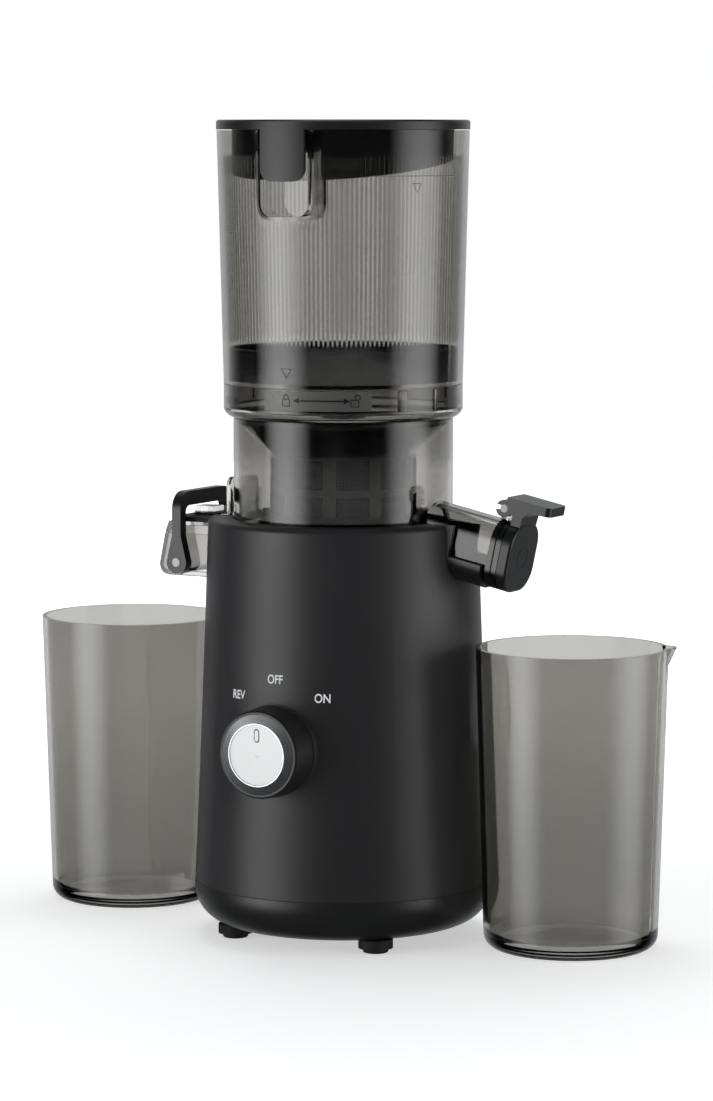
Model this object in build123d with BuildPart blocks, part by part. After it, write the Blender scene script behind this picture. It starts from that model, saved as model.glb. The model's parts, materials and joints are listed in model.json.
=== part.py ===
from build123d import *
import os
from math import cos, pi, radians, sin, sqrt

os.makedirs("parts", exist_ok=True)

# A vertical cold press juicer: tapered motor base, juicing bowl with two outlets, feed hopper, two cups.
# Millimetres, +Z up, origin on the floor under the drive axis. The knob faces -Y, the juice spout +X.

# Running and fitting clearances
body_gap = 0.3       # between surfaces of pieces that come apart or move
shaft_gap = 0.05     # radial, round shaft in its bore
seat_gap = 0.1       # between pieces pressed or screwed together
swing_gap = 0.5      # beside an arm or knuckle that swings
press_gap = 0.02     # between pieces moulded or pressed into each other
root = 1.0           # how far a rib, boss or post reaches into the wall it grows from
past = 1.0           # how far a cut runs past the face it opens

# Motor base
foot_height = 7.5
foot_radius = 9.5
foot_tip_radius = 7.0
foot_tip_height = 2.5
foot_offset = 44.0
foot_stem_radius = 3.5
foot_stem_catch = 1.5    # the stem's end above the tray's floor
foot_edge_round = 1.0
tray_flat_radius = 66.0
tray_belly_radius = 78.5
tray_belly_height = 15.0
tray_wall = 3.0
tray_lip_wall = 2.0
tray_lip_up = 5.0
tray_lip_down = 6.0
tray_lip_foot = 3.0     # height of the ledge that joins the lip to the wall
tray_screw_inset = 5.6
tray_screw_count = 4
tray_screw_angle = 32.0
tray_screw_length = 30.0
counterbore = 10.0
post_radius = 5.0
post_rib = 4.0
post_length = 25.0
post_cap = 6.0
vent_ring = 26.0
vent_count = 12
vent_length = 12.0
vent_width = 3.4
gland_height = 46.0
gland_bore = 3.5
gland_neck = 6.0
gland_flange = 9.0
gland_flange_thick = 3.0
gland_grip = 4.0
seam_height = 31.0
seam_radius = 82.5
waist_radius = 78.2
waist_height = 129.7
rim_radius = 74.6
rim_height = 232.0
rim_round = 3.0
housing_wall = 3.5
flange_thick = 3.5
well_wall = 2.5
deck_top = 199.0
deck_thick = 4.0
hub_radius = 13.0
seal_flange = 2.0
seal_flange_thick = 1.4
seal_lip = 1.0

# Juicing bowl
bowl_radius = 60.5
bowl_wall = 2.5
bowl_skirt = 3.7         # ring under the floor that stands on the deck
bowl_skirt_wall = 3.5
bowl_floor = 3.0
bowl_seal_wall = 2.6
bowl_seal_height = 3.2
magnet_pill_radius = 5.0
magnet_pill_height = 3.0
shoulder_height = 287.7
shoulder_drop = 1.0
swell_out = 3.9
swell_up = 2.2
ledge_width = 3.0
seal_room = 1.3
collar_radius = 65.8
collar_low = 292.6
bowl_top = 306.0
collar_wall = 2.5
groove_depth = 1.2
groove_low = 296.0
groove_height = 4.0
boss_radius = 11.5
boss_bore = 8.6
boss_height = 12.0
well_gap = 0.8
plate_start = -101.0
plate_angle = 53.0
plate_thick = 0.5
plate_margin_low = 2.0
plate_margin_high = 1.0

# Juice spout, which slopes down to +X
spout_tilt = 12.0
cap_face_x = 110.2
cap_face_z = 214.6
spout_width = 29.0
spout_height = 34.5
spout_corner = 10.5
spout_wall = 2.2
cap_width = 34.0
cap_height = 38.5
cap_corner = 13.0
cap_thick = 6.0
cap_edge_round = 1.5
cap_seat_gap = 0.6
spout_root = 8.0
collar_steps = ((0.0, 2.3, 2.0), (2.3, 1.3, 1.2), (3.6, 3.0, 2.0))    # from the mouth, length, height
plug_depth = 2.5
plug_gap = 0.6
plug_taper = 12.0
cap_pin_s = -11.8
cap_pin_up = 25.5
cap_pin_radius = 2.2
cap_pin_half = 10.0
cap_ear_half = 6.0
cap_ear_wall = 0.9
cap_ear_width = 5.0
cap_ear_root = 2.0
claw_radius = 4.7
claw_mouth = 3.0
claw_start = 1.0
claw_room = 1.6
lever_end_s = 15.5
lever_top = 32.2
lever_thick = 5.0
lever_half = 10.25
lever_round = 3.0
lever_root_s = 3.0
lever_root_drop = 0.4
stalk_front_up = 23.0
stalk_back_up = 22.5
stalk_inset = 0.6
stalk_root = 3.0
saddle_wall = 2.6
saddle_root = 6.0
saddle_end_s = -15.5
saddle_lip = -7.0        # height of the trough's edge beside the spout axis

# Pulp outlet, toward -X
chute_half = 21.0
chute_bottom = 196.5
chute_seam = 220.0
chute_end = 107.2       # where the end wall would meet the floor without its round
chute_shoulder = 102.3
chute_round = 6.0
chute_neck = 67.0
chute_roof = 228.5
chute_wall = 2.2
chute_root = 4.0
port_half = 15.0
port_top = 225.0
port_corner = 4.0
drop_near = 76.0
drop_far = 96.0
cover_top = 227.0
cover_tip = 99.8
pad_thick = 2.5
pad_margin = 1.0
pad_side = 1.5
lug_near = 80.0
lug_far = 92.0
lug_half = 6.0
lug_top = 234.5
fin_half = 13.0
fin_top = 252.0
fin_thick = 2.5
fin_corner = 5.0
fin_rib = 2.0
fin_rib_inset = 4.0
fin_rib_height = 18.0
cover_ear_thick = 3.0
cover_pin_x = 69.4
cover_pin_z = 229.4
cover_pin_radius = 0.9
cover_knuckle = 2.1
bail_x = 90.4
bail_z = 204.6
bail_half = 28.8
bail_thick = 6.0
bail_width = 5.5
bail_eye = 6.3
bail_top = 244.0
bail_bar = 8.0
bail_pin_radius = 2.45
bail_pin_end = 29.3
bail_pin_wall = 2.0
bail_round = 10.0
bail_waist_round = 14.0
bail_taper_low = 2.0
bail_taper_high = 15.0
bail_taper_inset = 0.4

# Strainer and auger
strainer_radius = 40.5
strainer_wall = 2.0
strainer_flare = 268.0
strainer_flare_rise = 1.5
strainer_top = 286.0
strainer_lip = 2.0
strainer_rim = 57.4
strainer_rim_width = 3.0
window_rows = ((213.0, 231.0), (235.0, 246.0), (250.0, 266.0))
window_count = 10
window_angle = 26.0
window_depth = 10.0
mesh_wall = 0.6
mesh_margin = 2.0
auger_radius = 36.2
auger_bottom = 210.2
auger_top = 298.0
auger_core_low = 21.0
auger_core_high = 12.0
auger_edge = 3.0
auger_nose = 6.0
auger_nose_radius = 7.0
auger_pitch = 27.0
flight_thick = 3.4
flight_rise = 0.2
flight_root = 3.0
flight_end = 10.0
drive_hex = 12.0         # across flats
drive_top = 236.0
drive_neck = 4.0
drive_chamfer = 0.8
boss_headroom = 1.5
socket_gap = 0.2
socket_wall = 2.8
socket_room = 6.0

# Hopper and lid
hopper_neck_radius = 62.8
hopper_neck_low = 294.5
hopper_low_radius = 65.8
hopper_high_radius = 69.3
hopper_top = 444.4
hopper_wall = 2.8
hopper_floor = 2.0
neck_wall = 2.5
hopper_seal_height = 0.9
hopper_seal_inset = 0.2
bayonet_angle = 16.0
bayonet_count = 4
bayonet_slack = 1.0
bayonet_clear = 0.8
twist_angle = 34.0
funnel_top = 326.0
funnel_hole = 30.0
funnel_wall = 2.0
funnel_slope = 8.0
funnel_lip = 4.0
niche_half = 15.2
niche_floor = 398.2
niche_depth = 17.0
niche_corner = 7.0
niche_wall = 2.2
niche_skin = 0.8
lid_radius = 69.6
lid_thick = 5.3
lid_round = 1.0
tab_half = 13.4
tab_drop = 27.6
tab_thick = 2.5
tab_corner = 7.0
skirt_radius = 61.0
skirt_wall = 2.2
skirt_front = 27.5
skirt_back = 9.5
skirt_notch_side = 1.2
skirt_notch_back = 2.5
lid_pin_y = 74.0
lid_pin_z = 446.5
lid_pin_radius = 1.2
lid_knuckle = 2.8
lid_knuckle_half = 7.6
lid_knuckle_root = 4.0
lid_ear = 3.5
lid_ear_root = 2.0
lid_ear_low = 18.0
lid_ear_step = 8.0

# Knob and switch
knob_height = 112.0
knob_seat = 78.9
knob_radius = 24.8
knob_front_radius = 23.9
knob_reach = 97.4
bevel_radius = 21.8
face_radius = 16.5
face_inset = 0.5
face_dish = 1.2
knob_edge = 1.0
knob_recess = 4.0
bevel_depth = 1.9
bevel_land = 0.6
mark_up = 10.5
mark_length = 7.4
mark_width = 3.4
mark_depth = 1.6
spindle_radius = 3.0
spindle_hold = 2.0       # between the spindle's end and the switch's back
seat_ring = 0.6
switch_side = 24.0
switch_corner = 2.0
switch_depth = 18.0
boss_inner = 73.2
pin_columns = (-8.0, 0.0, 8.0)
pin_rows = (-6.0, 6.0)
pin_thick = 0.8
pin_width = 4.8
pin_length = 6.0
board_y = 57.0
board_low = 49.0
board_width = 46.5
board_height = 72.0
board_thick = 1.6
board_part = (12.0, 8.0, 14.0)
board_part_places = ((-10.0, 46.0), (8.0, 21.0))     # x, height above the board's edge
guide_width = 6.0
guide_depth = 7.0
guide_height = 50.0
reed_place = (38.0, -14.0)
reed_size = (18.0, 7.0, 5.0)

# Motor and gearbox
gear_module = 1.0
sun_teeth = 12
planet_teeth = 30
ring_teeth = 72
planet_count = 3
backlash = 0.36
gear_width = 12.0
gear_low = 139.0
ring_outer_radius = 40.0
case_wall = 3.0
case_floor = 3.0
case_low = 129.0
case_top = 160.0
cover_thick = 4.0
cover_hub_radius = 16.0
bush_radius = 13.0
bush_height = 12.0
shaft_radius = 7.0
carrier_radius = 27.0
carrier_thick = 5.0
planet_pin_radius = 3.0
ring_shelf = 2.0
ear_ring = 47.0
ear_radius = 6.0
ear_count = 4
stud_radius = 5.0
screw_grip = 10.0
screw_tip = 2.0          # left free beyond a screw in a blind hole
screw_radius = 2.0
screw_head_radius = 3.8
screw_head = 2.6
grommet_height = 3.0
motor_radius = 38.0
motor_low = 46.0
can_wall = 1.5
end_cap_thick = 4.0
motor_slot_ring = 24.0
motor_slot_count = 6
motor_slot_length = 10.0
motor_slot_width = 5.0
magnet_thick = 5.0
magnet_angle = 140.0
magnet_low = 56.0
magnet_high = 104.0
rotor_radius = 30.0
rotor_slots = 12
rotor_slot_depth = 3.0
rotor_slot_width = 1.6
rotor_low = 60.0
rotor_high = 100.0
winding_radius = 26.0
winding_inner = 13.0
winding_overhang = 5.0
winding_round = 1.5
brush_size = (10.0, 5.0, 6.0)
holder_size = (11.0, 9.0, 17.0)
commutator_slot_depth = 1.0
commutator_slot_width = 0.8
commutator_radius = 11.0
commutator_low = 108.0
commutator_high = 120.0
rotor_shaft_radius = 4.0
motor_bearing_radius = 9.0
motor_bearing_height = 6.0
bearing_lip = 2.0
bearing_wall = 3.0
shaft_stub = 1.0
fan_radius = 33.0
fan_low = 31.0
fan_height = 8.0
fan_plate = 1.5
fan_hub_radius = 9.0
fan_blades = 9
blade_ring = 21.5
blade_length = 21.0
blade_thick = 1.6
blade_turn = 25.0

# Cups
cup_top_radius = 52.5
cup_bottom_radius = 47.8
cup_height = 165.0
cup_wall = 2.4
cup_floor = 5.5
cup_corner = 8.0
juice_cup_place = (130.3, 20.8)
pulp_cup_place = (-157.0, 33.0)
lip_angle = 29.0
lip_reach = 4.6
lip_radius = 9.0
lip_height = 16.0
lip_floor = 3.0
lip_tip = 1.5
lip_tip_inner = 0.5

# Worked-out sizes
well_radius = bowl_radius + well_gap
well_outer = well_radius + well_wall
deck_bottom = deck_top - deck_thick
rim_under = rim_height - flange_thick
bowl_low = deck_top + body_gap
bowl_floor_low = bowl_low + bowl_skirt
bowl_floor_top = bowl_floor_low + bowl_floor
bowl_inner = bowl_radius - bowl_wall
collar_inner = collar_radius - collar_wall
groove_radius = collar_inner + groove_depth
groove_top = groove_low + groove_height
ledge_height = hopper_neck_low - seal_room
boss_top = bowl_floor_top + boss_height + boss_headroom
socket_radius = (drive_hex / 2 + socket_gap) / cos(radians(30)) + socket_wall
socket_top = drive_top + socket_room
diagonal = sqrt(0.5)     # a corner arc's middle, as a share of its radius
far = 200.0              # longer than any piece that a cut must pass


def spin(points, start_angle=0, arc=360, mode=Mode.ADD):
    """Turn a closed outline of (radius, height) points about the drive axis."""
    turn = radians(start_angle)
    with BuildSketch(Plane(origin=(0, 0, 0), x_dir=(cos(turn), sin(turn), 0),
                           z_dir=(sin(turn), -cos(turn), 0))) as outline:
        with BuildLine():
            Polyline(*points, close=True)
        make_face()
    revolve(outline.sketch, axis=Axis.Z, revolution_arc=arc, mode=mode)


def save(builder, name):
    """Label a finished piece and write it as its own STEP file."""
    builder.part.label = name
    export_step(builder.part, f"parts/{name}.step")


def ring(name, outer, inner, low, high):
    """A plain ring about the drive axis, written under its name."""
    with BuildPart() as piece:
        spin([(inner, low), (outer, low), (outer, high), (inner, high)])
    save(piece, name)


def around(radius, count, start):
    """Evenly spaced (x, y) places on a circle about the drive axis."""
    angles = [radians(start + 360 * number / count) for number in range(count)]
    return [(radius * cos(angle), radius * sin(angle)) for angle in angles]


def screws(name, places, head_low, length):
    """A set of equal pan-head screws standing along Z on their heads, which start at head_low."""
    with BuildPart() as piece:
        with Locations(*[(x, y, head_low) for x, y in places]):
            Cylinder(screw_head_radius, screw_head, align=(Align.CENTER, Align.CENTER, Align.MIN))
        with Locations(*[(x, y, head_low + screw_head) for x, y in places]):
            Cylinder(screw_radius, length, align=(Align.CENTER, Align.CENTER, Align.MIN))
    save(piece, name)


def gear_outline(teeth, inward=False):
    """Flat-sided tooth outline of a spur gear, one tooth centred on the local X axis."""
    pitch_radius = gear_module * teeth / 2
    side = -1 if inward else 1
    tip = pitch_radius + side * gear_module
    root = pitch_radius - side * 1.25 * gear_module
    half_pitch_width = (pi * gear_module / 2 - backlash) / 2
    half_tip = half_pitch_width - 0.32 * gear_module
    half_root = half_pitch_width + 0.36 * gear_module
    points = []
    for tooth in range(teeth):
        centre = 2 * pi * tooth / teeth
        for radius, half in ((root, -half_root), (tip, -half_tip), (tip, half_tip), (root, half_root)):
            angle = centre + half / radius
            points.append((radius * cos(angle), radius * sin(angle)))
    return points


# Motor base shell

foot_places = [(x, y) for x in (-foot_offset, foot_offset) for y in (-foot_offset, foot_offset)]
tray_floor = foot_height + tray_wall
tray_screw_ring = tray_flat_radius - tray_screw_inset
post_reach = seam_radius - housing_wall + root - tray_screw_ring
tray_lip_top = seam_height + tray_lip_up
post_low = tray_lip_top + root
grommet_top = case_top + cover_thick + grommet_height
gearbox_ears = around(ear_ring, ear_count, 180 / ear_count)

# The spout's own plane: local y is up across the spout, local z runs out along it.
spout_way = Vector(cos(radians(spout_tilt)), 0, -sin(radians(spout_tilt)))
cap_face = Plane(origin=(cap_face_x, 0, cap_face_z), x_dir=(0, 1, 0), z_dir=spout_way)
cap_side = Plane(origin=(cap_face_x, 0, cap_face_z), x_dir=spout_way, z_dir=(0, -1, 0))

saddle_inner_width = spout_width + 2 * swing_gap
saddle_inner_height = spout_height + 2 * swing_gap
saddle_outer_width = saddle_inner_width + 2 * saddle_wall
saddle_outer_height = saddle_inner_height + 2 * saddle_wall
notch_width = saddle_outer_width + 2 * seat_gap
notch_height = saddle_outer_height + 2 * seat_gap
saddle_start_s = -(cap_face_x - well_radius + saddle_root)
chute_notch_half = chute_half + 2 * well_gap


def channel(width, height, corner, rise):
    """Section of a trough on the spout's plane: a rounded base that stays open upward."""
    RectangleRounded(width, height, corner)
    with Locations((0, rise / 2)):
        Rectangle(width, rise)


# Notches that the housing and the bowl's well leave for the spout's saddle and for the pulp chute
with BuildPart() as outlet_notches:
    with BuildSketch(cap_face.offset(saddle_end_s)):
        channel(notch_width, notch_height, spout_corner + saddle_wall, far)
    extrude(amount=saddle_start_s - saddle_end_s)
    with BuildSketch(Plane.YZ.offset(-(bowl_radius - chute_root))):
        with Locations((0, deck_bottom - past)):
            Rectangle(2 * chute_notch_half, far, align=(Align.CENTER, Align.MIN))
    extrude(amount=-far)

with BuildPart() as motor_housing:
    with BuildSketch(Plane.XZ):
        with BuildLine():
            skin = ThreePointArc((seam_radius, seam_height), (waist_radius, waist_height),
                                 (rim_radius, rim_height))
            Line(skin @ 1, (rim_radius - housing_wall, rim_height))
            lining = ThreePointArc((rim_radius - housing_wall, rim_height),
                                   (waist_radius - housing_wall, waist_height),
                                   (seam_radius - housing_wall, seam_height))
            Line(lining @ 1, skin @ 0)
        make_face()
    revolve(axis=Axis.Z)
    fillet(edges().filter_by(GeomType.CIRCLE).group_by(Axis.Z)[-1].sort_by(SortBy.RADIUS)[-1], rim_round)
    # Posts that take the tray screws
    with BuildSketch(Plane.XY.offset(post_low)):
        with PolarLocations(tray_screw_ring, tray_screw_count, start_angle=tray_screw_angle):
            Circle(post_radius)
            with Locations((post_reach / 2, 0)):
                Rectangle(post_reach, post_rib)
    extrude(amount=post_length)
    with BuildSketch(Plane.XY.offset(post_low - past)):
        with PolarLocations(tray_screw_ring, tray_screw_count, start_angle=tray_screw_angle):
            Circle(screw_radius + seat_gap)
    extrude(amount=past + post_length - post_cap, mode=Mode.SUBTRACT)
    # Flat round seat for the knob, with the spindle's hole
    with BuildSketch(Plane.XZ.offset(knob_seat)):
        with Locations((0, knob_height)):
            Circle(knob_radius + seat_ring)
    extrude(amount=far, mode=Mode.SUBTRACT)
    with BuildSketch(Plane.XZ.offset(knob_seat)):
        with Locations((0, knob_height)):
            Circle(knob_radius + seat_ring)
    extrude(amount=boss_inner - knob_seat)
    with BuildSketch(Plane.XZ.offset(knob_seat)):
        with Locations((0, knob_height)):
            Circle(spindle_radius + swing_gap)
    extrude(amount=knob_seat - boss_inner + past, both=True, mode=Mode.SUBTRACT)
    add(outlet_notches.part, mode=Mode.SUBTRACT)
    # Hole for the cord gland at the back
    with BuildSketch(Plane.XZ):
        with Locations((0, gland_height)):
            Circle(gland_neck + seat_gap)
    extrude(amount=-far, mode=Mode.SUBTRACT)
save(motor_housing, "motor_housing")

# The tub that the bowl sits in, with the studs that carry the gearbox
with BuildPart() as bowl_well:
    flange_radius = rim_radius - housing_wall - seat_gap
    with BuildSketch(Plane.XZ):
        with BuildLine():
            Polyline((well_radius, deck_top), (hub_radius, deck_top), (hub_radius, deck_bottom),
                     (well_outer, deck_bottom), (well_outer, rim_under), (flange_radius, rim_under),
                     (flange_radius, rim_height), (well_radius, rim_height), close=True)
        make_face()
    revolve(axis=Axis.Z)
    with BuildSketch(Plane.XY.offset(grommet_top)):
        with Locations(*gearbox_ears):
            Circle(stud_radius)
    extrude(until=Until.NEXT)
    with BuildSketch(Plane.XY.offset(grommet_top - past)):
        with Locations(*gearbox_ears):
            Circle(screw_radius + seat_gap)
    extrude(amount=past + screw_grip + screw_tip, mode=Mode.SUBTRACT)
    add(outlet_notches.part, mode=Mode.SUBTRACT)
save(bowl_well, "bowl_well")

with BuildPart() as spout_saddle:
    with BuildSketch(cap_face.offset(saddle_end_s)):
        channel(saddle_outer_width, saddle_outer_height, spout_corner + saddle_wall, far)
    extrude(amount=saddle_start_s - saddle_end_s)
    with BuildSketch(cap_face.offset(saddle_end_s + past)):
        channel(saddle_inner_width, saddle_inner_height, spout_corner + swing_gap, far)
    extrude(amount=saddle_start_s - saddle_end_s - 2 * past, mode=Mode.SUBTRACT)
    with BuildSketch(Plane.XY.offset(rim_height)):
        Rectangle(2 * far, far)
    extrude(amount=far, mode=Mode.SUBTRACT)
    with BuildSketch(Plane.XY.offset(deck_top)):
        Circle(well_radius)
    extrude(amount=far, mode=Mode.SUBTRACT)
    # Outside the housing only the low trough is left
    with BuildSketch(cap_side):
        with Locations((-(cap_face_x - rim_radius), saddle_lip)):
            Rectangle(far, far, align=(Align.MIN, Align.MIN))
    extrude(amount=far, both=True, mode=Mode.SUBTRACT)
save(spout_saddle, "spout_saddle")

with BuildPart() as base_tray:
    with BuildSketch(Plane.XZ):
        with BuildLine():
            belly = ThreePointArc((tray_flat_radius, foot_height), (tray_belly_radius, tray_belly_height),
                                  (seam_radius, seam_height))
            Line(belly @ 1, (seam_radius - tray_wall, seam_height))
            inside = ThreePointArc((seam_radius - tray_wall, seam_height),
                                   (tray_belly_radius - diagonal * tray_wall,
                                    tray_belly_height + diagonal * tray_wall),
                                   (tray_flat_radius, tray_floor))
            Polyline(inside @ 1, (0, tray_floor), (0, foot_height), belly @ 0)
        make_face()
    revolve(axis=Axis.Z)
    tray_lip_outer = seam_radius - housing_wall - seat_gap - body_gap
    tray_lip_inner = tray_lip_outer - tray_lip_wall
    lip_low = seam_height - tray_lip_down
    lip_root = seam_radius - tray_wall + root
    spin([(tray_lip_inner, lip_low), (lip_root, lip_low), (lip_root, lip_low + tray_lip_foot),
          (tray_lip_outer, lip_low + tray_lip_foot), (tray_lip_outer, tray_lip_top),
          (tray_lip_inner, tray_lip_top)])
    # Screw towers, which meet the housing's posts
    with BuildSketch(Plane.XY.offset(tray_floor - root)):
        with PolarLocations(tray_screw_ring, tray_screw_count, start_angle=tray_screw_angle):
            Circle(post_radius)
    extrude(amount=post_low - seat_gap - tray_floor + root)
    with BuildSketch(Plane.XY):
        with PolarLocations(tray_screw_ring, tray_screw_count, start_angle=tray_screw_angle):
            Circle(screw_radius + seat_gap)
    extrude(amount=far, mode=Mode.SUBTRACT)
    with BuildSketch(Plane.XY):
        with PolarLocations(tray_screw_ring, tray_screw_count, start_angle=tray_screw_angle):
            Circle(screw_head_radius + seat_gap)
    extrude(amount=tray_floor + counterbore, mode=Mode.SUBTRACT)
    # Sockets of the feet, air slots and the guides of the control board
    with BuildSketch(Plane.XY):
        with Locations(*foot_places):
            Circle(foot_stem_radius)
    extrude(amount=tray_floor + past, mode=Mode.SUBTRACT)
    with BuildSketch(Plane.XY):
        with PolarLocations(vent_ring, vent_count):
            SlotCenterToCenter(vent_length, vent_width)
    extrude(amount=tray_floor + past, mode=Mode.SUBTRACT)
    with BuildSketch(Plane.XY.offset(tray_floor - root)):
        with Locations((-board_width / 2, board_y), (board_width / 2, board_y)):
            Rectangle(guide_width, guide_depth)
    extrude(amount=guide_height)
    with BuildSketch(Plane.XY.offset(board_low - seat_gap)):
        with Locations((0, board_y)):
            Rectangle(board_width + 2 * seat_gap, board_thick + 2 * seat_gap)
    extrude(amount=guide_height, mode=Mode.SUBTRACT)
save(base_tray, "base_tray")

with BuildPart() as rubber_feet:
    with Locations(*[(x, y, 0) for x, y in foot_places]):
        Cylinder(foot_tip_radius, foot_tip_height, align=(Align.CENTER, Align.CENTER, Align.MIN))
    with Locations(*[(x, y, foot_tip_height) for x, y in foot_places]):
        Cylinder(foot_radius, foot_height - foot_tip_height,
                 align=(Align.CENTER, Align.CENTER, Align.MIN))
    with Locations(*[(x, y, foot_height) for x, y in foot_places]):
        Cylinder(foot_stem_radius - seat_gap, tray_wall + foot_stem_catch,
                 align=(Align.CENTER, Align.CENTER, Align.MIN))
    fillet(edges().filter_by(GeomType.CIRCLE).group_by(Axis.Z)[0], foot_edge_round)
save(rubber_feet, "rubber_feet")


screws("tray_screws", around(tray_screw_ring, tray_screw_count, tray_screw_angle),
       tray_floor + counterbore - screw_head, tray_screw_length)

with BuildPart() as shaft_seal:
    spin([(shaft_radius + shaft_gap, deck_bottom - seal_lip),
          (hub_radius - press_gap, deck_bottom - seal_lip),
          (hub_radius - press_gap, deck_top), (hub_radius + seal_flange, deck_top),
          (hub_radius + seal_flange, deck_top + seal_flange_thick),
          (shaft_radius + shaft_gap, deck_top + seal_flange_thick + seal_lip)])
save(shaft_seal, "shaft_seal")

with BuildPart() as cord_gland:
    with BuildSketch(Plane.XZ.offset(-(seam_radius - housing_wall - gland_grip))):
        with Locations((0, gland_height)):
            Circle(gland_neck)
    extrude(amount=-(housing_wall + gland_grip + root))
    with BuildSketch(Plane.XZ.offset(-seam_radius)):
        with Locations((0, gland_height)):
            Circle(gland_flange)
    extrude(amount=-gland_flange_thick)
    with BuildSketch(Plane.XZ):
        with Locations((0, gland_height)):
            Circle(gland_bore)
    extrude(amount=-far, mode=Mode.SUBTRACT)
save(cord_gland, "cord_gland")

# Motor

with BuildPart() as motor_can:
    spin([(motor_bearing_radius, motor_low), (motor_radius, motor_low),
          (motor_radius, case_low - end_cap_thick), (motor_radius - can_wall, case_low - end_cap_thick),
          (motor_radius - can_wall, motor_low + can_wall),
          (motor_bearing_radius + can_wall, motor_low + can_wall),
          (motor_bearing_radius + can_wall, motor_low + motor_bearing_height),
          (motor_bearing_radius, motor_low + motor_bearing_height)])
    with BuildSketch(Plane.XY.offset(motor_low - past)):
        with PolarLocations(motor_slot_ring, motor_slot_count):
            SlotCenterToCenter(motor_slot_length, motor_slot_width)
    extrude(amount=can_wall + 2 * past, mode=Mode.SUBTRACT)
save(motor_can, "motor_can")

with BuildPart() as motor_magnets:
    magnet_outer = motor_radius - can_wall
    for turn in (-magnet_angle / 2, 180 - magnet_angle / 2):
        spin([(magnet_outer - magnet_thick, magnet_low), (magnet_outer, magnet_low),
              (magnet_outer, magnet_high), (magnet_outer - magnet_thick, magnet_high)],
             turn, magnet_angle)
save(motor_magnets, "motor_magnets")

cap_low = case_low - end_cap_thick
with BuildPart() as motor_end_cap:
    spin([(motor_bearing_radius, cap_low - bearing_lip),
          (motor_bearing_radius + bearing_wall, cap_low - bearing_lip),
          (motor_bearing_radius + bearing_wall, cap_low), (motor_radius, cap_low),
          (motor_radius, case_low), (motor_bearing_radius, case_low)])
    with BuildSketch(Plane.XY.offset(cap_low - past)):
        with PolarLocations(motor_slot_ring, motor_slot_count, start_angle=180 / motor_slot_count):
            SlotCenterToCenter(motor_slot_length, motor_slot_width)
    extrude(amount=end_cap_thick + 2 * past, mode=Mode.SUBTRACT)
save(motor_end_cap, "motor_end_cap")

with BuildPart() as motor_bearings:
    bearing_bore = rotor_shaft_radius + shaft_gap
    for low in (motor_low, case_low - motor_bearing_height):
        high = low + motor_bearing_height
        spin([(bearing_bore, low), (motor_bearing_radius, low), (motor_bearing_radius, high),
              (bearing_bore, high)])
save(motor_bearings, "motor_bearings")

with BuildPart() as brush_holders:
    brush_middle = commutator_radius + swing_gap + brush_size[0] / 2
    holder_middle = brush_middle + (brush_size[0] + holder_size[0]) / 2 - root
    for side in (-1, 1):
        with Locations((side * brush_middle, 0, (commutator_low + commutator_high) / 2)):
            Box(*brush_size)
        with Locations((side * holder_middle, 0, cap_low - holder_size[2] / 2)):
            Box(*holder_size)
save(brush_holders, "brush_holders")

with BuildPart() as rotor_shaft:
    spin([(0, fan_low - shaft_stub), (rotor_shaft_radius, fan_low - shaft_stub),
          (rotor_shaft_radius, gear_low), (0, gear_low)])
    with BuildSketch(Plane.XY.offset(gear_low)):
        with BuildLine():
            Polyline(*gear_outline(sun_teeth), close=True)
        make_face()
    extrude(amount=gear_width)
save(rotor_shaft, "rotor_shaft")

with BuildPart() as rotor_core:
    with BuildSketch(Plane.XY.offset(rotor_low)):
        Circle(rotor_radius)
        Circle(rotor_shaft_radius, mode=Mode.SUBTRACT)
        with PolarLocations(rotor_radius, rotor_slots):
            Rectangle(2 * rotor_slot_depth, rotor_slot_width, mode=Mode.SUBTRACT)
    extrude(amount=rotor_high - rotor_low)
save(rotor_core, "rotor_core")

with BuildPart() as rotor_windings:
    for low in (rotor_low - winding_overhang, rotor_high):
        high = low + winding_overhang
        spin([(winding_inner, low), (winding_radius, low), (winding_radius, high), (winding_inner, high)])
    fillet(edges().filter_by(GeomType.CIRCLE).group_by(Axis.Z)[0], winding_round)
    fillet(edges().filter_by(GeomType.CIRCLE).group_by(Axis.Z)[-1], winding_round)
save(rotor_windings, "rotor_windings")

with BuildPart() as commutator:
    with BuildSketch(Plane.XY.offset(commutator_low)):
        Circle(commutator_radius)
        Circle(rotor_shaft_radius, mode=Mode.SUBTRACT)
        with PolarLocations(commutator_radius, rotor_slots, start_angle=180 / rotor_slots):
            Rectangle(2 * commutator_slot_depth, commutator_slot_width, mode=Mode.SUBTRACT)
    extrude(amount=commutator_high - commutator_low)
save(commutator, "commutator")

with BuildPart() as cooling_fan:
    with BuildSketch(Plane.XY.offset(fan_low)):
        Circle(fan_radius)
        Circle(rotor_shaft_radius, mode=Mode.SUBTRACT)
    extrude(amount=fan_plate)
    with BuildSketch(Plane.XY.offset(fan_low)):
        Circle(fan_hub_radius)
        with PolarLocations(blade_ring, fan_blades):
            Rectangle(blade_length, blade_thick, rotation=blade_turn)
    extrude(amount=fan_height)
    with BuildSketch(Plane.XY.offset(fan_low - past)):
        Circle(rotor_shaft_radius)
    extrude(amount=fan_height + 2 * past, mode=Mode.SUBTRACT)
save(cooling_fan, "cooling_fan")

# Planetary gearbox: fixed ring, sun on the rotor, carrier on the drive shaft

case_inner = ring_outer_radius + seat_gap
case_outer = case_inner + case_wall
case_bore = case_inner - ring_shelf

with BuildPart() as gearbox_case:
    spin([(motor_bearing_radius, case_low), (case_outer, case_low), (case_outer, case_top),
          (case_inner, case_top), (case_inner, gear_low), (case_bore, gear_low),
          (case_bore, case_low + case_floor), (motor_bearing_radius, case_low + case_floor)])
save(gearbox_case, "gearbox_case")

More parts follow.
